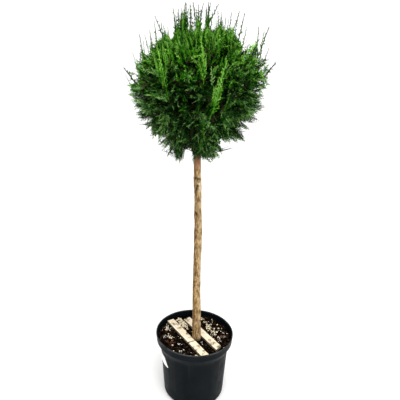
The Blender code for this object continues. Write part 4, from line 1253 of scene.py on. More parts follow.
def make_label():
    """A thin film with round corners that follows the pot's wall. Its face is blank."""
    columns, lines = LABEL_GRID
    corner = LABEL_ROUNDING
    points = []
    for layer in (0.0, LABEL_THICKNESS):
        for line in range(lines + 1):
            up = LABEL_HEIGHT * line / lines
            near_edge = max(0.0, corner - min(up, LABEL_HEIGHT - up))
            trim = corner - math.sqrt(max(0.0, corner**2 - near_edge**2))
            height = LABEL_BOTTOM + up
            radius = body_radius(height) + GAP + layer
            trim_degrees = math.degrees(trim / radius)
            low = LABEL_AZIMUTHS[0] + trim_degrees
            high = LABEL_AZIMUTHS[1] - LABEL_SLANT * up / LABEL_HEIGHT - trim_degrees
            for column in range(columns + 1):
                angle = math.radians(low + (high - low) * column / columns)
                reach = radius + (0.00010 * rough((angle, up * 8, 0.0), 5.0) if layer else 0.0)
                points.append((reach * math.cos(angle), reach * math.sin(angle), height))
    width = columns + 1
    shift = width * (lines + 1)
    sheet = grid_faces(lines + 1, width, closed=False)
    border = [*range(width), *(line * width + columns for line in range(1, lines + 1))]
    border += [lines * width + column for column in range(columns - 1, -1, -1)]
    border += [line * width for line in range(lines - 1, 0, -1)]
    border = np.array(border)
    beside = np.roll(border, -1)
    edge = np.stack([border, beside, beside + shift, border + shift], axis=1)
    faces = np.concatenate([sheet[:, ::-1], sheet + shift, edge])
    label = mesh_object("label_blank", points, faces, [paint_label()])
    label.data.set_sharp_from_angle(angle=math.radians(SHARP_ANGLE))
    dress(label, "label_film", "label")


# Trunk and boughs


def trunk_at(height):
    """The trunk's centre and radius at a height, eased from one station to the next."""
    stations = TRUNK_STATIONS
    height = min(max(height, stations[0][0]), stations[-1][0])
    for low, high in zip(stations, stations[1:]):
        if height <= high[0]:
            share = (height - low[0]) / (high[0] - low[0])
            eased = share * share * (3 - 2 * share)
            x, y, radius = (a + (b - a) * eased for a, b in zip(low[1:], high[1:]))
            return Vector((x, y, height)), radius
    raise ValueError(height)


def knot_swell(height):
    """The share by which old cuts swell the trunk at a height."""
    return KNOT_SWELL * sum(hump((height - knot) / KNOT_SPREAD) for knot in KNOTS)


def knot_scar(angle, height):
    """How near a point is to the middle of a cut-off shoot, from 0 to 1, and to its raised collar."""
    scar = 0.0
    collar = 0.0
    collar_radius, collar_width = KNOT_COLLAR
    for knot, azimuth in zip(KNOTS, KNOT_AZIMUTHS):
        away = (math.degrees(angle) - azimuth + 180) % 360 - 180
        distance = math.hypot(math.radians(away) * 0.0125, (height - knot) * 0.75)
        scar = max(scar, 1 - distance / KNOT_SCAR)
        collar = max(collar, hump((distance - collar_radius) / collar_width))
    return scar, collar


def cut_mark(point, angle):
    """How near a point of the trunk's front is to the middle of a dark cut, from 0 up to its strength."""
    most = 0.0
    if math.sin(angle) < 0:
        x, y = photo_pixel(point)
        for cut_x, cut_y, half_width, half_height, lean, strength in BARK_CUTS:
            turn = math.radians(lean)
            across = (x - cut_x) * math.cos(turn) + (y - cut_y) * math.sin(turn)
            down = (y - cut_y) * math.cos(turn) - (x - cut_x) * math.sin(turn)
            away = math.hypot(across / half_width, down / half_height)
            most = max(most, strength * max(0.0, CUT_REACH - away))
    return most


def facing(angle, side):
    """How squarely the trunk faces a side there, from 0 to 1."""
    return max(0.0, math.cos(angle - math.radians(side))) ** 2


def make_trunk():
    """The trunk with its bark: long shallow furrows, flakes, and the scars of old cuts, with painted light
    and shade: a highlight on one side, shade on the other and under the crown.
    """
    low, high = TRUNK_STATIONS[0][0], TRUNK_STATIONS[-1][0]
    dark_from, dark_over = UPPER_BARK
    least_pale, more_pale = HIGHLIGHT_STRENGTH
    points = []
    marks = []
    for ring in range(TRUNK_RINGS + 1):
        centre, radius = trunk_at(low + (high - low) * ring / TRUNK_RINGS)
        radius *= 1 + knot_swell(centre.z)
        pale = least_pale + more_pale * hump((centre.z - HIGHLIGHT_HEIGHT) / HIGHLIGHT_SPREAD)
        for step in range(TRUNK_SIDES):
            angle = math.tau * step / TRUNK_SIDES
            spoke = Vector((math.cos(angle), math.sin(angle), 0.0))
            place = (math.cos(angle) * BARK_RADIUS, math.sin(angle) * BARK_RADIUS, centre.z)
            furrow = max(0.0, FURROW_WIDTH - abs(rough(place, *FURROW_NOISE))) / FURROW_WIDTH
            flake = rough(place, *FLAKE_NOISE)
            lump = rough(place, *LUMP_NOISE)
            scar, collar = knot_scar(angle, centre.z)
            cut = cut_mark(centre + spoke * radius, angle)
            relief = FLAKE_RELIEF * flake - FURROW_DEPTH * furrow**2 + LUMP_RELIEF * lump
            relief += COLLAR_RELIEF * collar
            relief -= CUT_DEPTH * min(1.0, cut)
            points.append(centre + spoke * (radius + relief))
            dark = FURROW_DARKNESS * furrow**2 * max(0.0, 0.5 + flake) + cut
            dark = dark + COLLAR_DARKNESS * collar + SCAR_DARKNESS * scar
            # painted shade: the trunk's side away from the light is darker
            dark += SHADED_SIDE_DARKNESS * facing(angle, SHADED_SIDE)
            # painted shade: upper also darkens the trunk's top under the crown
            upper = (centre.z + 0.012 * lump - dark_from) / dark_over
            patchy = 0.7 + 1.6 * rough(place, *PATCH_NOISE)
            # pale is the painted highlight on the trunk's lit side
            marks.append((min(1.0, dark), clamp(upper), clamp(facing(angle, HIGHLIGHT_SIDE) * pale * patchy)))
    points += [trunk_at(low)[0], trunk_at(high)[0]]
    marks += [(0.0, 0.0, 0.0), (0.0, 1.0, 0.0)]
    faces = capped_faces(TRUNK_RINGS + 1, TRUNK_SIDES)
    trunk = mesh_object("trunk_bark", rows(points), faces, [paint_bark()])
    for name, values in zip(("furrow", "upper", "pale"), zip(*marks)):
        set_attribute(trunk, name, values)
    dress(trunk, "bark", "trunk")


def unit(azimuth, elevation):
    """A direction from two angles. Azimuth 0 is +X, and -90 is the front."""
    around, above = math.radians(azimuth), math.radians(elevation)
    flat = math.cos(above)
    return Vector((flat * math.cos(around), flat * math.sin(around), math.sin(above)))


def curve_points(start, bend, end, segments):
    """Points of a quadratic curve."""
    shares = [step / segments for step in range(segments + 1)]
    return [start * (1 - s) ** 2 + bend * 2 * s * (1 - s) + end * s**2 for s in shares]


def bough_curve(ring, number, heading):
    """The root, bend and tip of a bough."""
    root, _ = trunk_at(ring.root_height + ring.root_step * ((2 * number) % ring.count))
    tip = CROWN_CENTRE + heading * ring.bough_reach - UP * ring.bough_drop
    bend = root.lerp(tip, BOUGH_BEND)
    bend.z = root.z + (tip.z - root.z) * BOUGH_RISE
    return root, bend, tip


class Mass:
    """One mass of foliage: the direction it faces, where and how its stem starts, and its bough."""

    def __init__(self, label, seed, heading, start, onward, radius, curve=None, bough=None):
        self.label = label
        self.seed = seed
        self.heading = heading
        self.middle = CROWN_CENTRE + heading * SEED_DISTANCE
        self.start = start
        self.onward = onward
        self.radius = radius
        self.curve = curve
        self.bough = bough
        self.sprays = []


def plan_masses():
    """The top mass stands on the trunk's tip, and every other one on a bough of its own."""
    tip, tip_radius = trunk_at(TRUNK_STATIONS[-1][0])
    masses = [Mass("top", TOP_SEED, UP, tip + UP * GAP, UP, tip_radius)]
    for row, ring in enumerate(RINGS, 1):
        for number in range(ring.count):
            heading = unit(ring.azimuth + 360.0 * number / ring.count, ring.elevation)
            curve = bough_curve(ring, number, heading)
            path = curve_points(*curve, BOUGH_SEGMENTS)
            onward = (path[-1] - path[-2]).normalized()
            stem = (path[-1] + onward * GAP, onward, ring.radius * BOUGH_TAPER)
            label = f"{ring.name}_{number + 1}"
            seed = RING_SEED * row + number
            masses.append(Mass(label, seed, heading, *stem, curve, (path, ring.radius)))
    return masses


def make_boughs(masses):
    """The boughs, swollen where they leave the trunk, with the bark's relief."""
    parts = []
    swell, swell_share = BOUGH_SWELL
    carried = [mass for mass in masses if mass.bough]
    for mass in carried:
        path = curve_points(*mass.curve, BOUGH_STEPS)
        radii = []
        for step, centre in enumerate(path):
            share = step / BOUGH_STEPS
            thick = mass.bough[1] * (1 - (1 - BOUGH_TAPER) * share)
            thick *= 1 + swell * hump(share / swell_share)
            places = [(centre.x + side * 0.31, centre.y, centre.z) for side in range(BOUGH_SIDES)]
            radii.append([thick * (1 + BOUGH_RELIEF * rough(place, *BOUGH_NOISE)) for place in places])
        parts.append(limb_arrays(path, radii, BOUGH_SIDES))
    # the boughs' bark is darker than the trunk's: its own brown, and painted shade of the crown over it
    paint = paint_twig("bough_bark", (0.018, 0.010, 0.004), (0.090, 0.050, 0.022))
    boughs = mesh_object("boughs_bark", *join_arrays(parts), [paint])
    dress(boughs, "bark", *("bough_" + mass.label for mass in carried))


# The source's growth rule


def outward(place):
    """The direction from the crown's centre to a place."""
    return (place - CROWN_CENTRE).normalized()


def dense_reach(heading):
    """How far the dense foliage reaches from the crown's centre in a direction."""
    tall, power = (CROWN_RISE, TOP_SQUARENESS) if heading.z > 0 else (CROWN_DROP, BOTTOM_SQUARENESS)
    flat = math.hypot(heading.x, heading.y)
    round_reach = ((flat / CROWN_RADIUS) ** power + (abs(heading.z) / tall) ** power) ** (-1 / power)
    return round_reach * (1 + LEAN_RIGHT * heading.x * max(0.0, heading.z))


def in_crown(place, share):
    """True where a place is within this share of the dense foliage's reach."""
    return (place - CROWN_CENTRE).length < share * dense_reach(outward(place))


def growth_heading(heading):
    """Sprays point outwards and up, more so near the top of the crown."""
    return (heading + UP * (UPWARD_PULL * (1 + heading.z))).normalized()


def in_cell(point, mass, masses):
    """True where the point is nearer to this mass's middle than to any other's, clear of the border."""
    for other in masses:
        if other is mass:
            continue
        across = other.middle - mass.middle
        halfway = (other.middle + mass.middle) / 2
        if (point - halfway).dot(across.normalized()) > -CELL_GAP / 2:
            return False
    return True


def limb_distance(point, limb):
    """Distance from a point to a limb's bark."""
    path, radius = limb
    nearest = math.inf
    for start, end in zip(path, path[1:]):
        foot, share = intersect_point_line(point, start, end)
        if share < 0:
            foot = start
        elif share > 1:
            foot = end
        nearest = min(nearest, (point - foot).length)
    return nearest - radius


class Space:
    """The room that one mass keeps to: its own cell, clear of every bough and of the trunk.

    For sprays that the trunk itself carries, or that hang close by it, only the boughs count.
    """

    def __init__(self, mass, masses, by_trunk=False):
        self.mass = mass
        self.masses = masses
        stations = [] if by_trunk else [trunk_at(height) for height, *_ in TRUNK_STATIONS[-4:]]
        pairs = zip(stations, stations[1:])
        self.limbs = [((low, high), radius) for (low, radius), (high, _) in pairs]
        self.limbs += [other.bough for other in masses if other.bough]

    def clear(self, points, clearance=LIMB_CLEARANCE):
        """True if every point is clear of the limbs."""
        return all(limb_distance(point, limb) >= clearance for point in points for limb in self.limbs)

    def holds(self, points, clearance=LIMB_CLEARANCE):
        """True if every point is in the cell and clear of the limbs."""
        in_place = all(in_cell(point, self.mass, self.masses) for point in points)
        return in_place and self.clear(points, clearance)


def between(start, end, count):
    """Points spread evenly from start to end."""
    return [start.lerp(end, step / count) for step in range(count + 1)]


def frame_round(along, roll):
    """Two directions at right angles to along, turned about it by roll."""
    across = along.orthogonal().normalized()
    turned = Matrix.Rotation(roll, 3, along) @ across
    return turned, along.cross(turned)


def lattice(count):
    """Directions spread evenly over a sphere."""
    golden = math.pi * (3 - math.sqrt(5))
    for index in range(count):
        height = 1 - 2 * (index + 0.5) / count
        flat = math.sqrt(1 - height * height)
        angle = golden * index
        yield Vector((flat * math.cos(angle), flat * math.sin(angle), height))


def sites_of(mass, masses):
    """The twig sites, of those spread over the crown, that fall in this mass's cell."""
    for heading in lattice(TWIG_SITES):
        place = CROWN_CENTRE + heading * dense_reach(heading) * TWIG_REACH
        if heading.z > LOWEST_SITE and in_cell(place, mass, masses):
            yield heading, place


def stem_path(mass):
    """The stem goes straight on from the bough's tip, then bends and ends deep in the mass."""
    end = CROWN_CENTRE + mass.heading * dense_reach(mass.heading) * STEM_END
    start = mass.start + mass.onward * STEM_STRAIGHT
    bend = start + mass.onward * (end - start).length * STEM_BEND
    return [mass.start, *curve_points(start, bend, end, STEM_SEGMENTS)]


def twig_path(stem, place, heading):
    """A twig leaves the stem at an acute angle and turns to grow outwards and up."""
    steps = [point for start, end in zip(stem[1:], stem[2:]) for point in between(start, end, 4)]
    onward = (stem[-1] - stem[0]).normalized()
    wanted = (place - stem[0]).dot(onward) * TWIG_ROOT
    root = min(steps, key=lambda point: abs((point - stem[0]).dot(onward) - wanted))
    bend = place - growth_heading(heading) * (place - root).length * TWIG_BEND
    return curve_points(root, bend, place, 2)


def spray_points(root, along, roll, length, teeth):
    """The outline of the source's spray, with the tops of its two ridges."""
    side, normal = frame_round(along, roll)
    half = SPRAY_WIDTH / 2 * length / SPRAY_LENGTH
    right = [root + along * length * u + side * half * w for u, w in teeth]
    left = [root + along * length * u - side * half * w for u, w in teeth]
    centre = root + along * length * SPRAY_CENTRE
    ridge = normal * SPRAY_RIDGE
    return [*right, root + along * length, *left, centre - ridge, centre + ridge]


def fit_spray(root, along, heading, length, teeth, space, rng):
    """The aim and length of a spray, turned outwards and shortened little by little until it fits."""
    for attempt in range(SPRAY_TRIES):
        ease = attempt / SPRAY_TRIES
        aim = along.lerp(heading, ease).normalized()
        reach = length * (1 - (1 - SHORTEST_SPRAY) * ease)
        outline = spray_points(root, aim, rng.uniform(0, math.tau), reach, teeth)
        tip = root + aim * reach
        if in_crown(tip, SPRAY_REACH) and space.holds([*outline, *between(root, tip, 6)[1:]]):
            return [(root, aim, reach)]
    return []


def grow_sprays(twig, heading, space, rng):
    """The sprays and the leading shoots of one twig, as root, aim and length."""
    _, middle, end = twig
    onward = growth_heading(heading)
    roll = rng.uniform(0, math.tau)
    spread = math.radians(SPRAY_SPREAD)
    length = SPRAY_LENGTH * rng.uniform(*LENGTH_RANGE)
    sprays = fit_spray(middle.lerp(end, END_SPRAY_PLACE), onward, heading, length, END_TEETH, space, rng)
    for turn, (place, share) in enumerate(SIDE_SPRAYS):
        wobble = rng.uniform(-SPRAY_WOBBLE, SPRAY_WOBBLE)
        side, _ = frame_round(onward, roll + math.tau * turn / len(SIDE_SPRAYS) + wobble)
        along = tilt(onward, side, spread)
        length = SPRAY_LENGTH * share * rng.uniform(*LENGTH_RANGE)
        sprays += fit_spray(middle.lerp(end, place), along, heading, length, SIDE_TEETH, space, rng)
    shoots = []
    if heading.z > SHOOT_LOWEST and rng.random() < SHOOT_SHARE:
        upward = (onward + UP * SHOOT_UPRIGHT).normalized()
        length = SHOOT_LENGTH * rng.uniform(*LENGTH_RANGE)
        widest = end + upward * length * SHOOT_WIDEST
        side, normal = frame_round(upward, roll)
        ring = [widest + offset * SHOOT_RADIUS for offset in (side, normal, -side, -normal)]
        if space.holds([end, *ring, end + upward * length]):
            shoots.append((end, upward, length))
    return sprays, shoots


# Plumes: what each spray of the source becomes

Spray = namedtuple("Spray", "kind variant root axis normal length bend level")


def kite(start, along, side, normal, length, width):
    """The four corners of a scale shoot: two triangles folded along its middle."""
    widest = start + along * length * KITE_WIDEST
    half = side * width / 2
    fold = normal * width * KITE_FOLD
    return [start, widest + half - fold, start + along * length, widest - half - fold]


def lance(share):
    """The outline of a plume: how long its side branchlets are along the leader."""
    return min(1.0, 0.50 + 2.2 * share) * (1.03 - share) ** 0.80


def plume_template(kind, seed):
    """Points, triangles and shade shifts of one spray, 1 long, along +Y in the plane z = 0."""
    rng = random.Random(seed)
    wave = rng.uniform(0.4, 1.0) * rng.choice((-1, 1))

    def on_leader(share):
        """The place on the swaying leader at a share of its length."""
        sway = LEADER_SWAY * wave * math.sin(math.pi * share * 1.3)
        return Vector((sway, share, LEADER_WAVE * math.sin(5 * share + seed)))

    leader_path = [on_leader(share) for share in (0.0, 0.35, 0.70, 1.0)]
    thick = kind.leader_radius
    leader = limb_arrays(leader_path, [thick, thick, thick * 0.8, thick * LEADER_TIP], 3)
    points = [Vector(point) for point in leader[0]]
    faces = [tuple(face) for face in leader[1]]
    jitters = [0.0] * len(faces)

    def add_kite(jitter, *arguments):
        """Add one kite, with its shift in shades."""
        base = len(points)
        points.extend(kite(*arguments))
        faces.append((base, base + 1, base + 2))
        faces.append((base, base + 2, base + 3))
        jitters.extend((jitter, jitter))

    for number in range(kind.branchlets):
        share = (number + rng.uniform(0.1, 0.9)) / kind.branchlets
        hand = 1 if number % 2 else -1
        start = on_leader(kind.first + (kind.last - kind.first) * share)
        length = kind.longest * lance(share) * rng.uniform(*BRANCHLET_SIZES)
        angle = math.radians(kind.spread * (1 - 0.25 * share) + rng.uniform(*BRANCHLET_SCATTER))
        roll = math.radians(rng.uniform(-kind.roll, kind.roll))
        sideways = Vector((hand * math.cos(roll), 0.0, math.sin(roll)))
        ahead = Vector((0.0, 1.0, 0.0))
        along = tilt(ahead, sideways, angle).normalized()
        normal = along.cross(ahead * math.sin(angle) - sideways * math.cos(angle)).normalized()
        side = along.cross(normal).normalized()
        jitter = rng.uniform(-SHADE_JITTER, SHADE_JITTER)
        chance = rng.random()
        if chance < GLINT_SHARE:
            jitter += GLINT_SHIFT
        elif chance > 1 - HOLLOW_SHARE:
            jitter += HOLLOW_SHIFT
        add_kite(jitter, start, along, side, normal, length, kind.branchlet_width)
        scales = max(1, round(length / kind.scale_gap))
        for scale in range(scales):
            along_share = (scale + rng.uniform(0.35, 0.85)) / (scales + 0.6)
            scale_hand = 1 if (scale + number) % 2 else -1
            turn = Matrix.Rotation(scale_hand * math.radians(rng.uniform(*SCALE_SPREAD)), 3, normal)
            aim = (turn @ along).lerp(ahead, kind.forward * 0.5).normalized()
            size = kind.scale_length * (1.15 - 0.6 * along_share) * rng.uniform(*SCALE_SIZES)
            size *= 0.45 + 0.55 * lance(share)
            twist = Matrix.Rotation(rng.uniform(*SCALE_TWIST), 3, aim)
            across = (twist @ normal.cross(aim)).normalized()
            upright = aim.cross(across)
            foot = start + along * length * along_share
            add_kite(jitter + 0.5, foot, aim, across, upright, size, kind.scale_width)
    points = np.array([tuple(point) for point in points])
    faces = np.array(faces, np.int32)
    at_root, at_tip = kind.shifts
    shifts = at_root + (at_tip - at_root) * points[faces[:, -1], 1] + np.array(jitters)
    return points, faces, shifts


def plume_limit(heading):
    """How far plumes may reach in a direction, as a share of the dense reach."""
    return blend(PLUME_LIMITS, clamp(heading.z * 2))


def whip_limit(heading):
    """How far whips may reach."""
    return blend(WHIP_LIMITS, max(0.0, heading.z) ** 2)


def spike_limit(heading):
    """How far upright feathers may reach."""
    return blend(SPIKE_LIMITS, max(0.0, heading.z))


def inner_limit(heading):
    """How far inner sprays may reach: less than the plumes, except at the crown's foot."""
    low = max(0.0, -heading.z - 0.6) / 0.4
    return blend((INNER_LIMIT, PLUME_LIMITS[0]), min(1.0, 1.5 * low))


LIMITS = {PLUME: plume_limit, COARSE: inner_limit, WHIP: whip_limit, FEATHER: spike_limit}


def plume_lift(up):
    """How plumes are drawn upwards, by how steeply their place lies up from the crown's centre."""
    return UP * blend(PLUME_LIFT, 0.5 + 0.5 * up)


def patch_shift(place):
    """How many shades the patches on the crown's front shift a place."""
    if place.y > CROWN_CENTRE.y:
        return 0.0
    x, y = photo_pixel(place)
    shift = 0.0
    for patch_x, patch_y, radius, change in SHADE_PATCHES:
        distance = math.hypot(x - patch_x, y - patch_y) / radius
        shift += change * max(0.0, 1 - distance**3)
    return shift


def closes_sky(points, margin):
    """True if a point comes into a line of sight that the photograph shows open."""
    for point in points:
        x, y = photo_pixel(point)
        for gap_x, gap_y, radius in SKY_GAPS:
            if math.hypot(x - gap_x, y - gap_y) < radius + margin:
                return True
    return False


def on_crown(pixel, share):
    """The first place on the crown's skin, at this share of its reach, that the camera sees at a pixel."""
    line = sight_line(pixel)
    place = CAMERA_PLACE + line * SEARCH_FROM
    while not in_crown(place, share):
        place = place + line * SEARCH_STEP
        if place.y > CROWN_CENTRE.y:
            raise ValueError(pixel)
    return place


class Grower:
    """Carries the source's sprays on to plumes, whips and the fine twigs that bear them."""

    def __init__(self, masses, box):
        self.rng = random.Random(GROWER_SEED)
        self.masses = masses
        self.low = box[0] + Vector((BOX_MARGIN,) * 3)
        self.high = box[1] - Vector((BOX_MARGIN,) * 3)
        self.high.z = WHIP_CEILING
        self.twigs = []

    def level(self, place, mood):
        """The shade at a place, as painted light and shade: lighter outwards and upwards, darker deeper in.
        """
        heading = outward(place)
        depth = (place - CROWN_CENTRE).length / dense_reach(heading)
        gain, base = UPPER_LIGHT if heading.z > 0 else LOWER_LIGHT
        depth_from, depth_over = SKIN_DEPTHS
        lit = SKIN_LIGHT * (depth - depth_from) / depth_over + gain * heading.z
        bright = BRIGHT_SHIFT if self.rng.random() < BRIGHT_SHARE else 0.0
        return lit + base + bright + mood + patch_shift(place) + self.rng.gauss(0.0, SPRAY_SCATTER)

    def within(self, root, step, rise, limit):
        """The share of its length to which a spray with a rising tip stays in the crown's reach."""
        share = 1.0
        while share > 0.5:
            place = root + step * share + rise * step.length * share
            inside = all(low < value < high for low, value, high in zip(self.low, place, self.high))
            if inside and in_crown(place, limit(outward(place))):
                return share
            share -= 0.08
        return 0.0

    def face_out(self, aim, heading, scatter, least=0.0):
        """The direction that a spray's face looks in: out of the crown, give or take some degrees."""
        face = heading - aim * heading.dot(aim)
        if face.length < least:
            face = aim.orthogonal()
        turn = math.radians(self.rng.gauss(0.0, scatter))
        return Matrix.Rotation(turn, 3, aim) @ face.normalized()

    def add(self, space, kind, root, aim, length, mood, level=None):
        """Add one spray, if there is room for it."""
        rng = self.rng
        rise = UP * (SPRAY_RISE * (0.35 + outward(root).z) + rng.uniform(*RISE_SCATTER))
        length *= self.within(root, aim * length, rise, LIMITS[kind])
        if length == 0.0:
            return False
        tip = root + aim * length
        samples = between(root, tip, 5)[1:]
        if not space.clear(samples, SPRAY_CLEARANCE):
            return False
        if closes_sky([*samples, tip + rise * length], SKY_MARGIN):
            return False
        normal = self.face_out(aim, outward(root.lerp(tip, 0.5)), FACE_OUT_SCATTER, LEAST_FACE)
        if level is None:
            level = self.level(root.lerp(tip, 0.7), mood)
        variant = rng.randrange(VARIANTS)
        space.mass.sprays.append(Spray(kind, variant, root, aim, normal, length, rise, level))
        return True

    def round_plumes(self, space, spray, mood):
        """A plume along the source's spray, and smaller ones round it."""
        rng = self.rng
        root, aim, length = spray
        self.add(space, PLUME, root, aim, length, mood + 0.3)
        self.twigs.append(([root, root + aim * length * 0.45], TWIG_FINE))
        up = outward(root).z
        sizes = PLUME_SIZES_TOP if up > TOP_SPRAYS else PLUME_SIZES
        turn = rng.uniform(0, math.tau)
        for _ in range(PLUMES_ROUND):
            foot = root + aim * length * rng.uniform(*PLUME_PLACES)
            turn += SPIRAL + rng.uniform(-0.4, 0.4)
            side, _ = frame_round(aim, turn)
            heading = tilt(aim, side, math.radians(rng.uniform(*PLUME_SPREAD))) + plume_lift(up)
            self.add(space, PLUME, foot, heading.normalized(), length * rng.uniform(*sizes), mood)

    def fill_inside(self, space, path, count, mood):
        """Coarse dark sprays along a stem or twig."""
        rng = self.rng
        turn = rng.uniform(0, math.tau)
        for number in range(count):
            share = (number + rng.random()) / count * (len(path) - 1)
            piece = min(int(share), len(path) - 2)
            start, end = path[piece], path[piece + 1]
            along = (end - start).normalized()
            turn += SPIRAL
            side, _ = frame_round(along, turn)
            aim = tilt(along, side, math.radians(rng.uniform(*INNER_SPREAD))).normalized()
            self.add(space, COARSE, start.lerp(end, share - piece), aim, rng.uniform(*INNER_SIZES), mood)

    def hang_skirt(self, space):
        """Sprays that hang outwards from one of the lowest boughs."""
        rng = self.rng
        path = curve_points(*space.mass.curve, BOUGH_STEPS)[BOUGH_STEPS // 4:]
        for number in range(SKIRT_SPRAYS):
            foot = path[int((number + rng.random()) / SKIRT_SPRAYS * (len(path) - 1))]
            turn = Matrix.Rotation(math.radians(rng.uniform(-SKIRT_TURN, SKIRT_TURN)), 3, "Z")
            flat = Vector((foot.x - CROWN_CENTRE.x, foot.y - CROWN_CENTRE.y, 0.0)).normalized()
            aim = (turn @ flat + UP * rng.uniform(*SKIRT_DROP)).normalized()
            self.add(space, PLUME, foot, aim, rng.uniform(*SKIRT_SIZES), 0.4)

    def raise_whips(self, space, shoot, mood):
        """The source's leading shoot as a whip, with finer ones round it."""
        rng = self.rng
        root, upward, length = shoot
        foot = root - upward * WHIP_SET_BACK
        level = 2.8 + rng.uniform(-0.6, 0.9)
        self.add(space, WHIP, foot, upward, length + WHIP_SET_BACK, mood, level)
        for _ in range(WHIPS_ROUND):
            side, _ = frame_round(upward, rng.uniform(0, math.tau))
            aim = tilt(upward, side, math.radians(rng.uniform(0.3, 1.0) * WHIP_SPREAD)).normalized()
            size = length * rng.uniform(*WHIP_SIZES)
            level = 2.6 + rng.uniform(-0.7, 1.1)
            self.add(space, WHIP, foot.lerp(root, rng.random()), aim, size, mood, level)

    def grow(self, mass):
        """All the twigs and sprays of one mass."""
        source_rng = random.Random(mass.seed)
        for _ in range(CORE_DRAWS):
            source_rng.random()
        on_stem, on_twig, _ = INNER_MOODS
        space = mass.space = Space(mass, self.masses)
        stem = stem_path(mass)
        tapers = [1 - (1 - STEM_TAPER) * step / (len(stem) - 1) for step in range(len(stem))]
        self.twigs.append((stem, [mass.radius * taper for taper in tapers]))
        self.fill_inside(space, stem[1:], STEM_SPRAYS, on_stem)
        if mass.bough:
            self.fill_inside(space, curve_points(*mass.curve, BOUGH_SEGMENTS)[1:], BOUGH_SPRAYS, on_stem)
            if mass.heading.z < 0:
                self.hang_skirt(Space(mass, self.masses, by_trunk=True))
        for heading, place in sites_of(mass, self.masses):
            twig = twig_path(stem, place, heading)
            steps = [*between(*twig[:2], 4), *between(*twig[1:], 4)]
            if not space.holds(steps, TWIG_RADIUS + LIMB_CLEARANCE):
                continue
            sprays, shoots = grow_sprays(twig, heading, space, source_rng)
            mood = self.rng.gauss(0.0, 0.5)
            self.twigs.append((twig, (TWIG_RADIUS, TWIG_RADIUS * 0.85, TWIG_RADIUS * 0.5)))
            self.fill_inside(space, twig, INNER_SPRAYS, mood + on_twig)
            for spray in sprays:
                self.round_plumes(space, spray, mood)
            for shoot in shoots:
                self.raise_whips(space, shoot, mood)

    def grow_all(self):
        """The twigs and sprays of every mass, and short dark sprays on the trunk inside the crown."""
        for mass in self.masses:
            self.grow(mass)
        path = [trunk_at(height)[0] for height in TRUNK_SPRAY_HEIGHTS]
        by_trunk = Space(self.masses[0], self.masses, by_trunk=True)
        self.fill_inside(by_trunk, path, TRUNK_SPRAYS, INNER_MOODS[2])
        self.limb_points = rows(point for path, _ in self.twigs for point in path)
        self.limb_depths = np.linalg.norm(self.limb_points - np.array(CROWN_CENTRE), axis=1)

    def mass_at(self, place):
        """The mass whose middle is nearest."""
        return min(self.masses, key=lambda mass: (mass.middle - place).length)

    def carry(self, foot, aim):
        """A fine twig from the nearest limb deeper in the crown to the foot of a spray."""
        deeper = self.limb_depths < 0.92 * (foot - CROWN_CENTRE).length
        away = np.linalg.norm(self.limb_points - np.array(foot), axis=1)
        carrier = Vector(self.limb_points[np.argmin(np.where(deeper, away, np.inf))])
        bend = foot - aim * (foot - carrier).length * TWIG_BEND
        thick, thin = TWIG_FINE
        self.twigs.append((curve_points(carrier, bend, foot, 3), (thick * 1.3, thick, thick, thin)))

    def place(self, kind, foot, tip, level, rise):
        """A spray from foot to tip on a twig of its own."""
        aim = (tip - foot).normalized()
        self.carry(foot, aim)
        normal = self.face_out(aim, outward(foot), FACE_OUT_SCATTER / 2)
        variant = self.rng.randrange(VARIANTS)
        spray = Spray(kind, variant, foot, aim, normal, (tip - foot).length, rise, level)
        self.mass_at(foot).sprays.append(spray)

    def at_depth(self, pixel, y):
        """The place at this depth that the camera sees at a pixel, or nearer, to stay in the CAD's box."""
        place = seen_at(pixel, y=y)
        while not self.low.x + EDGE_MARGIN < place.x < self.high.x - EDGE_MARGIN:
            y -= 0.005
            place = seen_at(pixel, y=y)
        return place

    def fill_shell(self):
        """Twigs with one plume each, spread evenly over the crown's skin, so that it is full all round."""
        rng = self.rng
        for heading in lattice(SHELL_SPRAYS):
            heading = (heading + Vector([rng.gauss(0, 0.03) for _ in range(3)])).normalized()
            foot = CROWN_CENTRE + heading * dense_reach(heading) * rng.uniform(*SHELL_DEPTHS)
            side, _ = frame_round(heading, rng.uniform(0, math.tau))
            turn = math.radians(SHELL_SPREAD) * math.sqrt(rng.random())
            aim = (tilt(heading, side, turn) + plume_lift(heading.z)).normalized()
            mood = rng.gauss(0.0, 0.4)
            kind = PLUME
            size = rng.uniform(*SHELL_SIZES)
            if heading.z > SPIKE_LOWEST and rng.random() < SPIKE_SHARE:
                kind = FEATHER
                aim = (aim * 0.35 + UP).normalized()
                size = rng.uniform(*SPIKE_SIZES)
            if self.add(self.mass_at(foot).space, kind, foot, aim, size, mood):
                self.carry(foot, aim)

    def add_front_feathers(self):
        """The bright feathers on the crown's front."""
        for *ends, level in FRONT_FEATHERS:
            foot, tip = (on_crown(*end) for end in zip((ends[:2], ends[2:]), FEATHER_SHARES))
            self.place(FEATHER, foot, tip, level, outward(foot) * 0.02)

    def add_outline_whips(self):
        """The whips that the photograph shows against the sky."""
        for *ends, depth in OUTLINE_WHIPS:
            foot, tip = (self.at_depth(pixel, depth) for pixel in (ends[:2], ends[2:]))
            foot = foot.lerp(tip, -WHIP_DEEPER)
            tip.z = min(tip.z, WHIP_CEILING)
            self.place(WHIP, foot, tip, 2.6 + self.rng.uniform(-0.4, 0.9), Vector())

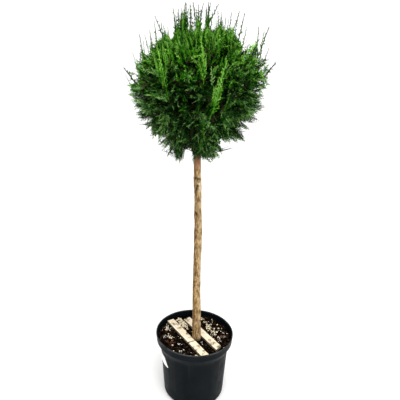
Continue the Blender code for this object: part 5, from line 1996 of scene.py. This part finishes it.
    def add_outline_tufts(self):
        """Tufts of plumes that fill out the outline as the photograph shows it."""
        rng = self.rng
        for *ends, width, count, depth, level in OUTLINE_TUFTS:
            for _ in range(count):
                y = depth + rng.gauss(0.0, TUFT_DEPTH)
                shift = Vector((rng.uniform(-width, width), rng.uniform(-width, width)))
                foot = self.at_depth(Vector(ends[:2]) + shift * 1.2, y)
                tip = self.at_depth(Vector(ends[2:]) + shift, y)
                foot = foot.lerp(tip, rng.uniform(*TUFT_FEET))
                tip = foot.lerp(tip, rng.uniform(*TUFT_TIPS))
                tip.z = min(tip.z, WHIP_CEILING)
                if not closes_sky(between(foot, tip, 5), TUFT_SKY_MARGIN):
                    self.place(PLUME, foot, tip, level + rng.gauss(0.0, 0.6), Vector())


def place_sprays(sprays, templates, rng):
    """Arrays of all the points, triangles and shades of one mass's sprays."""
    groups = {}
    for spray in sprays:
        groups.setdefault((spray.kind, spray.variant), []).append(spray)
    parts = []
    all_shades = []
    for key, members in groups.items():
        points, faces, shifts = templates[key]
        root, axis, normal, bend = (
            rows(getattr(spray, name) for spray in members)[:, None]
            for name in ("root", "axis", "normal", "bend")
        )
        length = np.array([spray.length for spray in members])[:, None, None]
        side = np.cross(axis, normal)
        x, y, z = (points[None, :, column, None] for column in range(3))
        placed = root + length * (x * side + y * axis + z * normal + bend * y**2)
        offsets = np.arange(len(members))[:, None, None] * len(points)
        parts.append((placed.reshape(-1, 3), (faces[None] + offsets).reshape(-1, 3)))
        for spray in members:
            low = spray.root.z < CROWN_CENTRE.z + WITHERED_CEILING
            if low and spray.level < WITHERED_LEVEL and rng.random() < WITHERED_SHARE:
                all_shades.append(np.full(len(faces), 2 * len(SHADES)))
                continue
            shades = np.clip(np.rint(spray.level + shifts), 0, len(SHADES) - 1).astype(int)
            # painted shade: below the crown's middle height, sprays take the greyer lower set of shades
            below = spray.root.z < CROWN_CENTRE.z + rng.gauss(0.0, SHADE_BORDER)
            if below and spray.kind is not FEATHER:
                shades += len(SHADES)
            all_shades.append(shades)
    return *join_arrays(parts), np.concatenate(all_shades)


def make_foliage(masses, box):
    """Replace each mass by its twigs and plumes."""
    grower = Grower(masses, box)
    grower.grow_all()
    grower.fill_shell()
    grower.add_front_feathers()
    grower.add_outline_whips()
    grower.add_outline_tufts()
    templates = {
        (kind, variant): plume_template(kind, 100 * number + variant)
        for number, kind in enumerate(LIMITS)
        for variant in range(VARIANTS)
    }
    paints = [paint_leaf(f"leaf_upper_{number}", colour) for number, colour in enumerate(SHADES)]
    paints += [paint_leaf(f"leaf_lower_{number}", colour) for number, colour in enumerate(LOWER_SHADES)]
    paints.append(paint_leaf("leaf_withered", WITHERED))
    for mass in masses:
        name = "foliage_" + mass.label
        points, faces, shades = place_sprays(mass.sprays, templates, grower.rng)
        dress(mesh_object(name + "_sprays", points, faces, paints, shades, smooth=False), "needles", name)
    parts = [limb_arrays(path, radii, 6 if radii[0] > 0.002 else 3) for path, radii in grower.twigs]
    paint = paint_twig("twig_bark", (0.012, 0.008, 0.003), (0.056, 0.036, 0.015))
    dress(mesh_object("twigs", *join_arrays(parts), [paint]), "bark")


# Floor, light and camera


def make_stage():
    """A plain pale floor that rises behind the plant without a corner."""
    width, front, back, rise, bend = 14.0, -9.0, 2.6, 6.0, 1.6
    section = [(front, 0.0), (0.0, 0.0)]
    for step in range(17):
        angle = math.radians(-90 + 90 * step / 16)
        section.append((back + bend * math.cos(angle), bend + bend * math.sin(angle)))
    section.append((back + bend, rise))
    points = [(x, y, z - 0.0005) for y, z in section for x in (-width / 2, width / 2)]
    faces = [(2 * row, 2 * row + 1, 2 * row + 3, 2 * row + 2) for row in range(len(section) - 1)]
    paint = Paint("pale_floor", (0.96, 0.96, 0.96), 0.9, 0.1)
    paint.colour(paint.ramp(paint.noise(3.0, 2.0), (0.3, 0.955), (0.7, 0.965)))
    floor = mesh_object("floor", points, faces, [paint.material])


def add_light(name, place, target, size, power, colour=(1.0, 1.0, 1.0)):
    """A large soft lamp."""
    lamp = bpy.data.lights.new(name, "AREA")
    lamp.shape = "DISK"
    lamp.size = size
    lamp.energy = power
    lamp.color = colour
    obj = bpy.data.objects.new(name, lamp)
    bpy.context.scene.collection.objects.link(obj)
    obj.location = place
    obj.rotation_euler = (Vector(target) - Vector(place)).to_track_quat("-Z", "Y").to_euler()


def make_lights():
    """A white studio with a lamp overhead and one in front."""
    world = bpy.data.worlds.new("studio")
    world.use_nodes = True
    background = world.node_tree.nodes["Background"]
    background.inputs["Color"].default_value = (1.0, 1.0, 1.0, 1.0)
    background.inputs["Strength"].default_value = 0.80
    bpy.context.scene.world = world
    bpy.context.scene.view_settings.view_transform = "Standard"
    add_light("overhead", (0.1, -0.6, 3.6), (0.0, 0.0, 1.0), 1.9, 105.0, (1.0, 0.985, 0.95))
    add_light("front", (0.45, -3.3, 2.3), (0.0, 0.0, 0.8), 2.4, 44.0)


def make_camera():
    """The photograph's camera, with the shift that its crop needs."""
    lens = bpy.data.cameras.new("camera")
    lens.sensor_width = SENSOR_WIDTH
    lens.lens = SENSOR_WIDTH * FOCAL_PIXELS / PHOTO_PIXELS
    lens.shift_x = (PHOTO_PIXELS / 2 - PRINCIPAL_X) / PHOTO_PIXELS
    lens.clip_start = 0.05
    lens.clip_end = 60.0
    camera = bpy.data.objects.new("camera", lens)
    bpy.context.scene.collection.objects.link(camera)
    camera.location = CAMERA_PLACE
    camera.rotation_euler = (math.radians(90 - CAMERA_PITCH), 0.0, 0.0)
    bpy.context.scene.camera = camera


def clear_scene():
    """Remove the objects that Blender starts with."""
    for obj in list(bpy.data.objects):
        bpy.data.objects.remove(obj)


clear_scene()
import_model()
cad_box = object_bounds()
make_pot()
make_soil()
make_chips()
make_slats()
make_label()
make_trunk()
masses = plan_masses()
make_boughs(masses)
make_foliage(masses, cad_box)
make_stage()
make_lights()
make_camera()
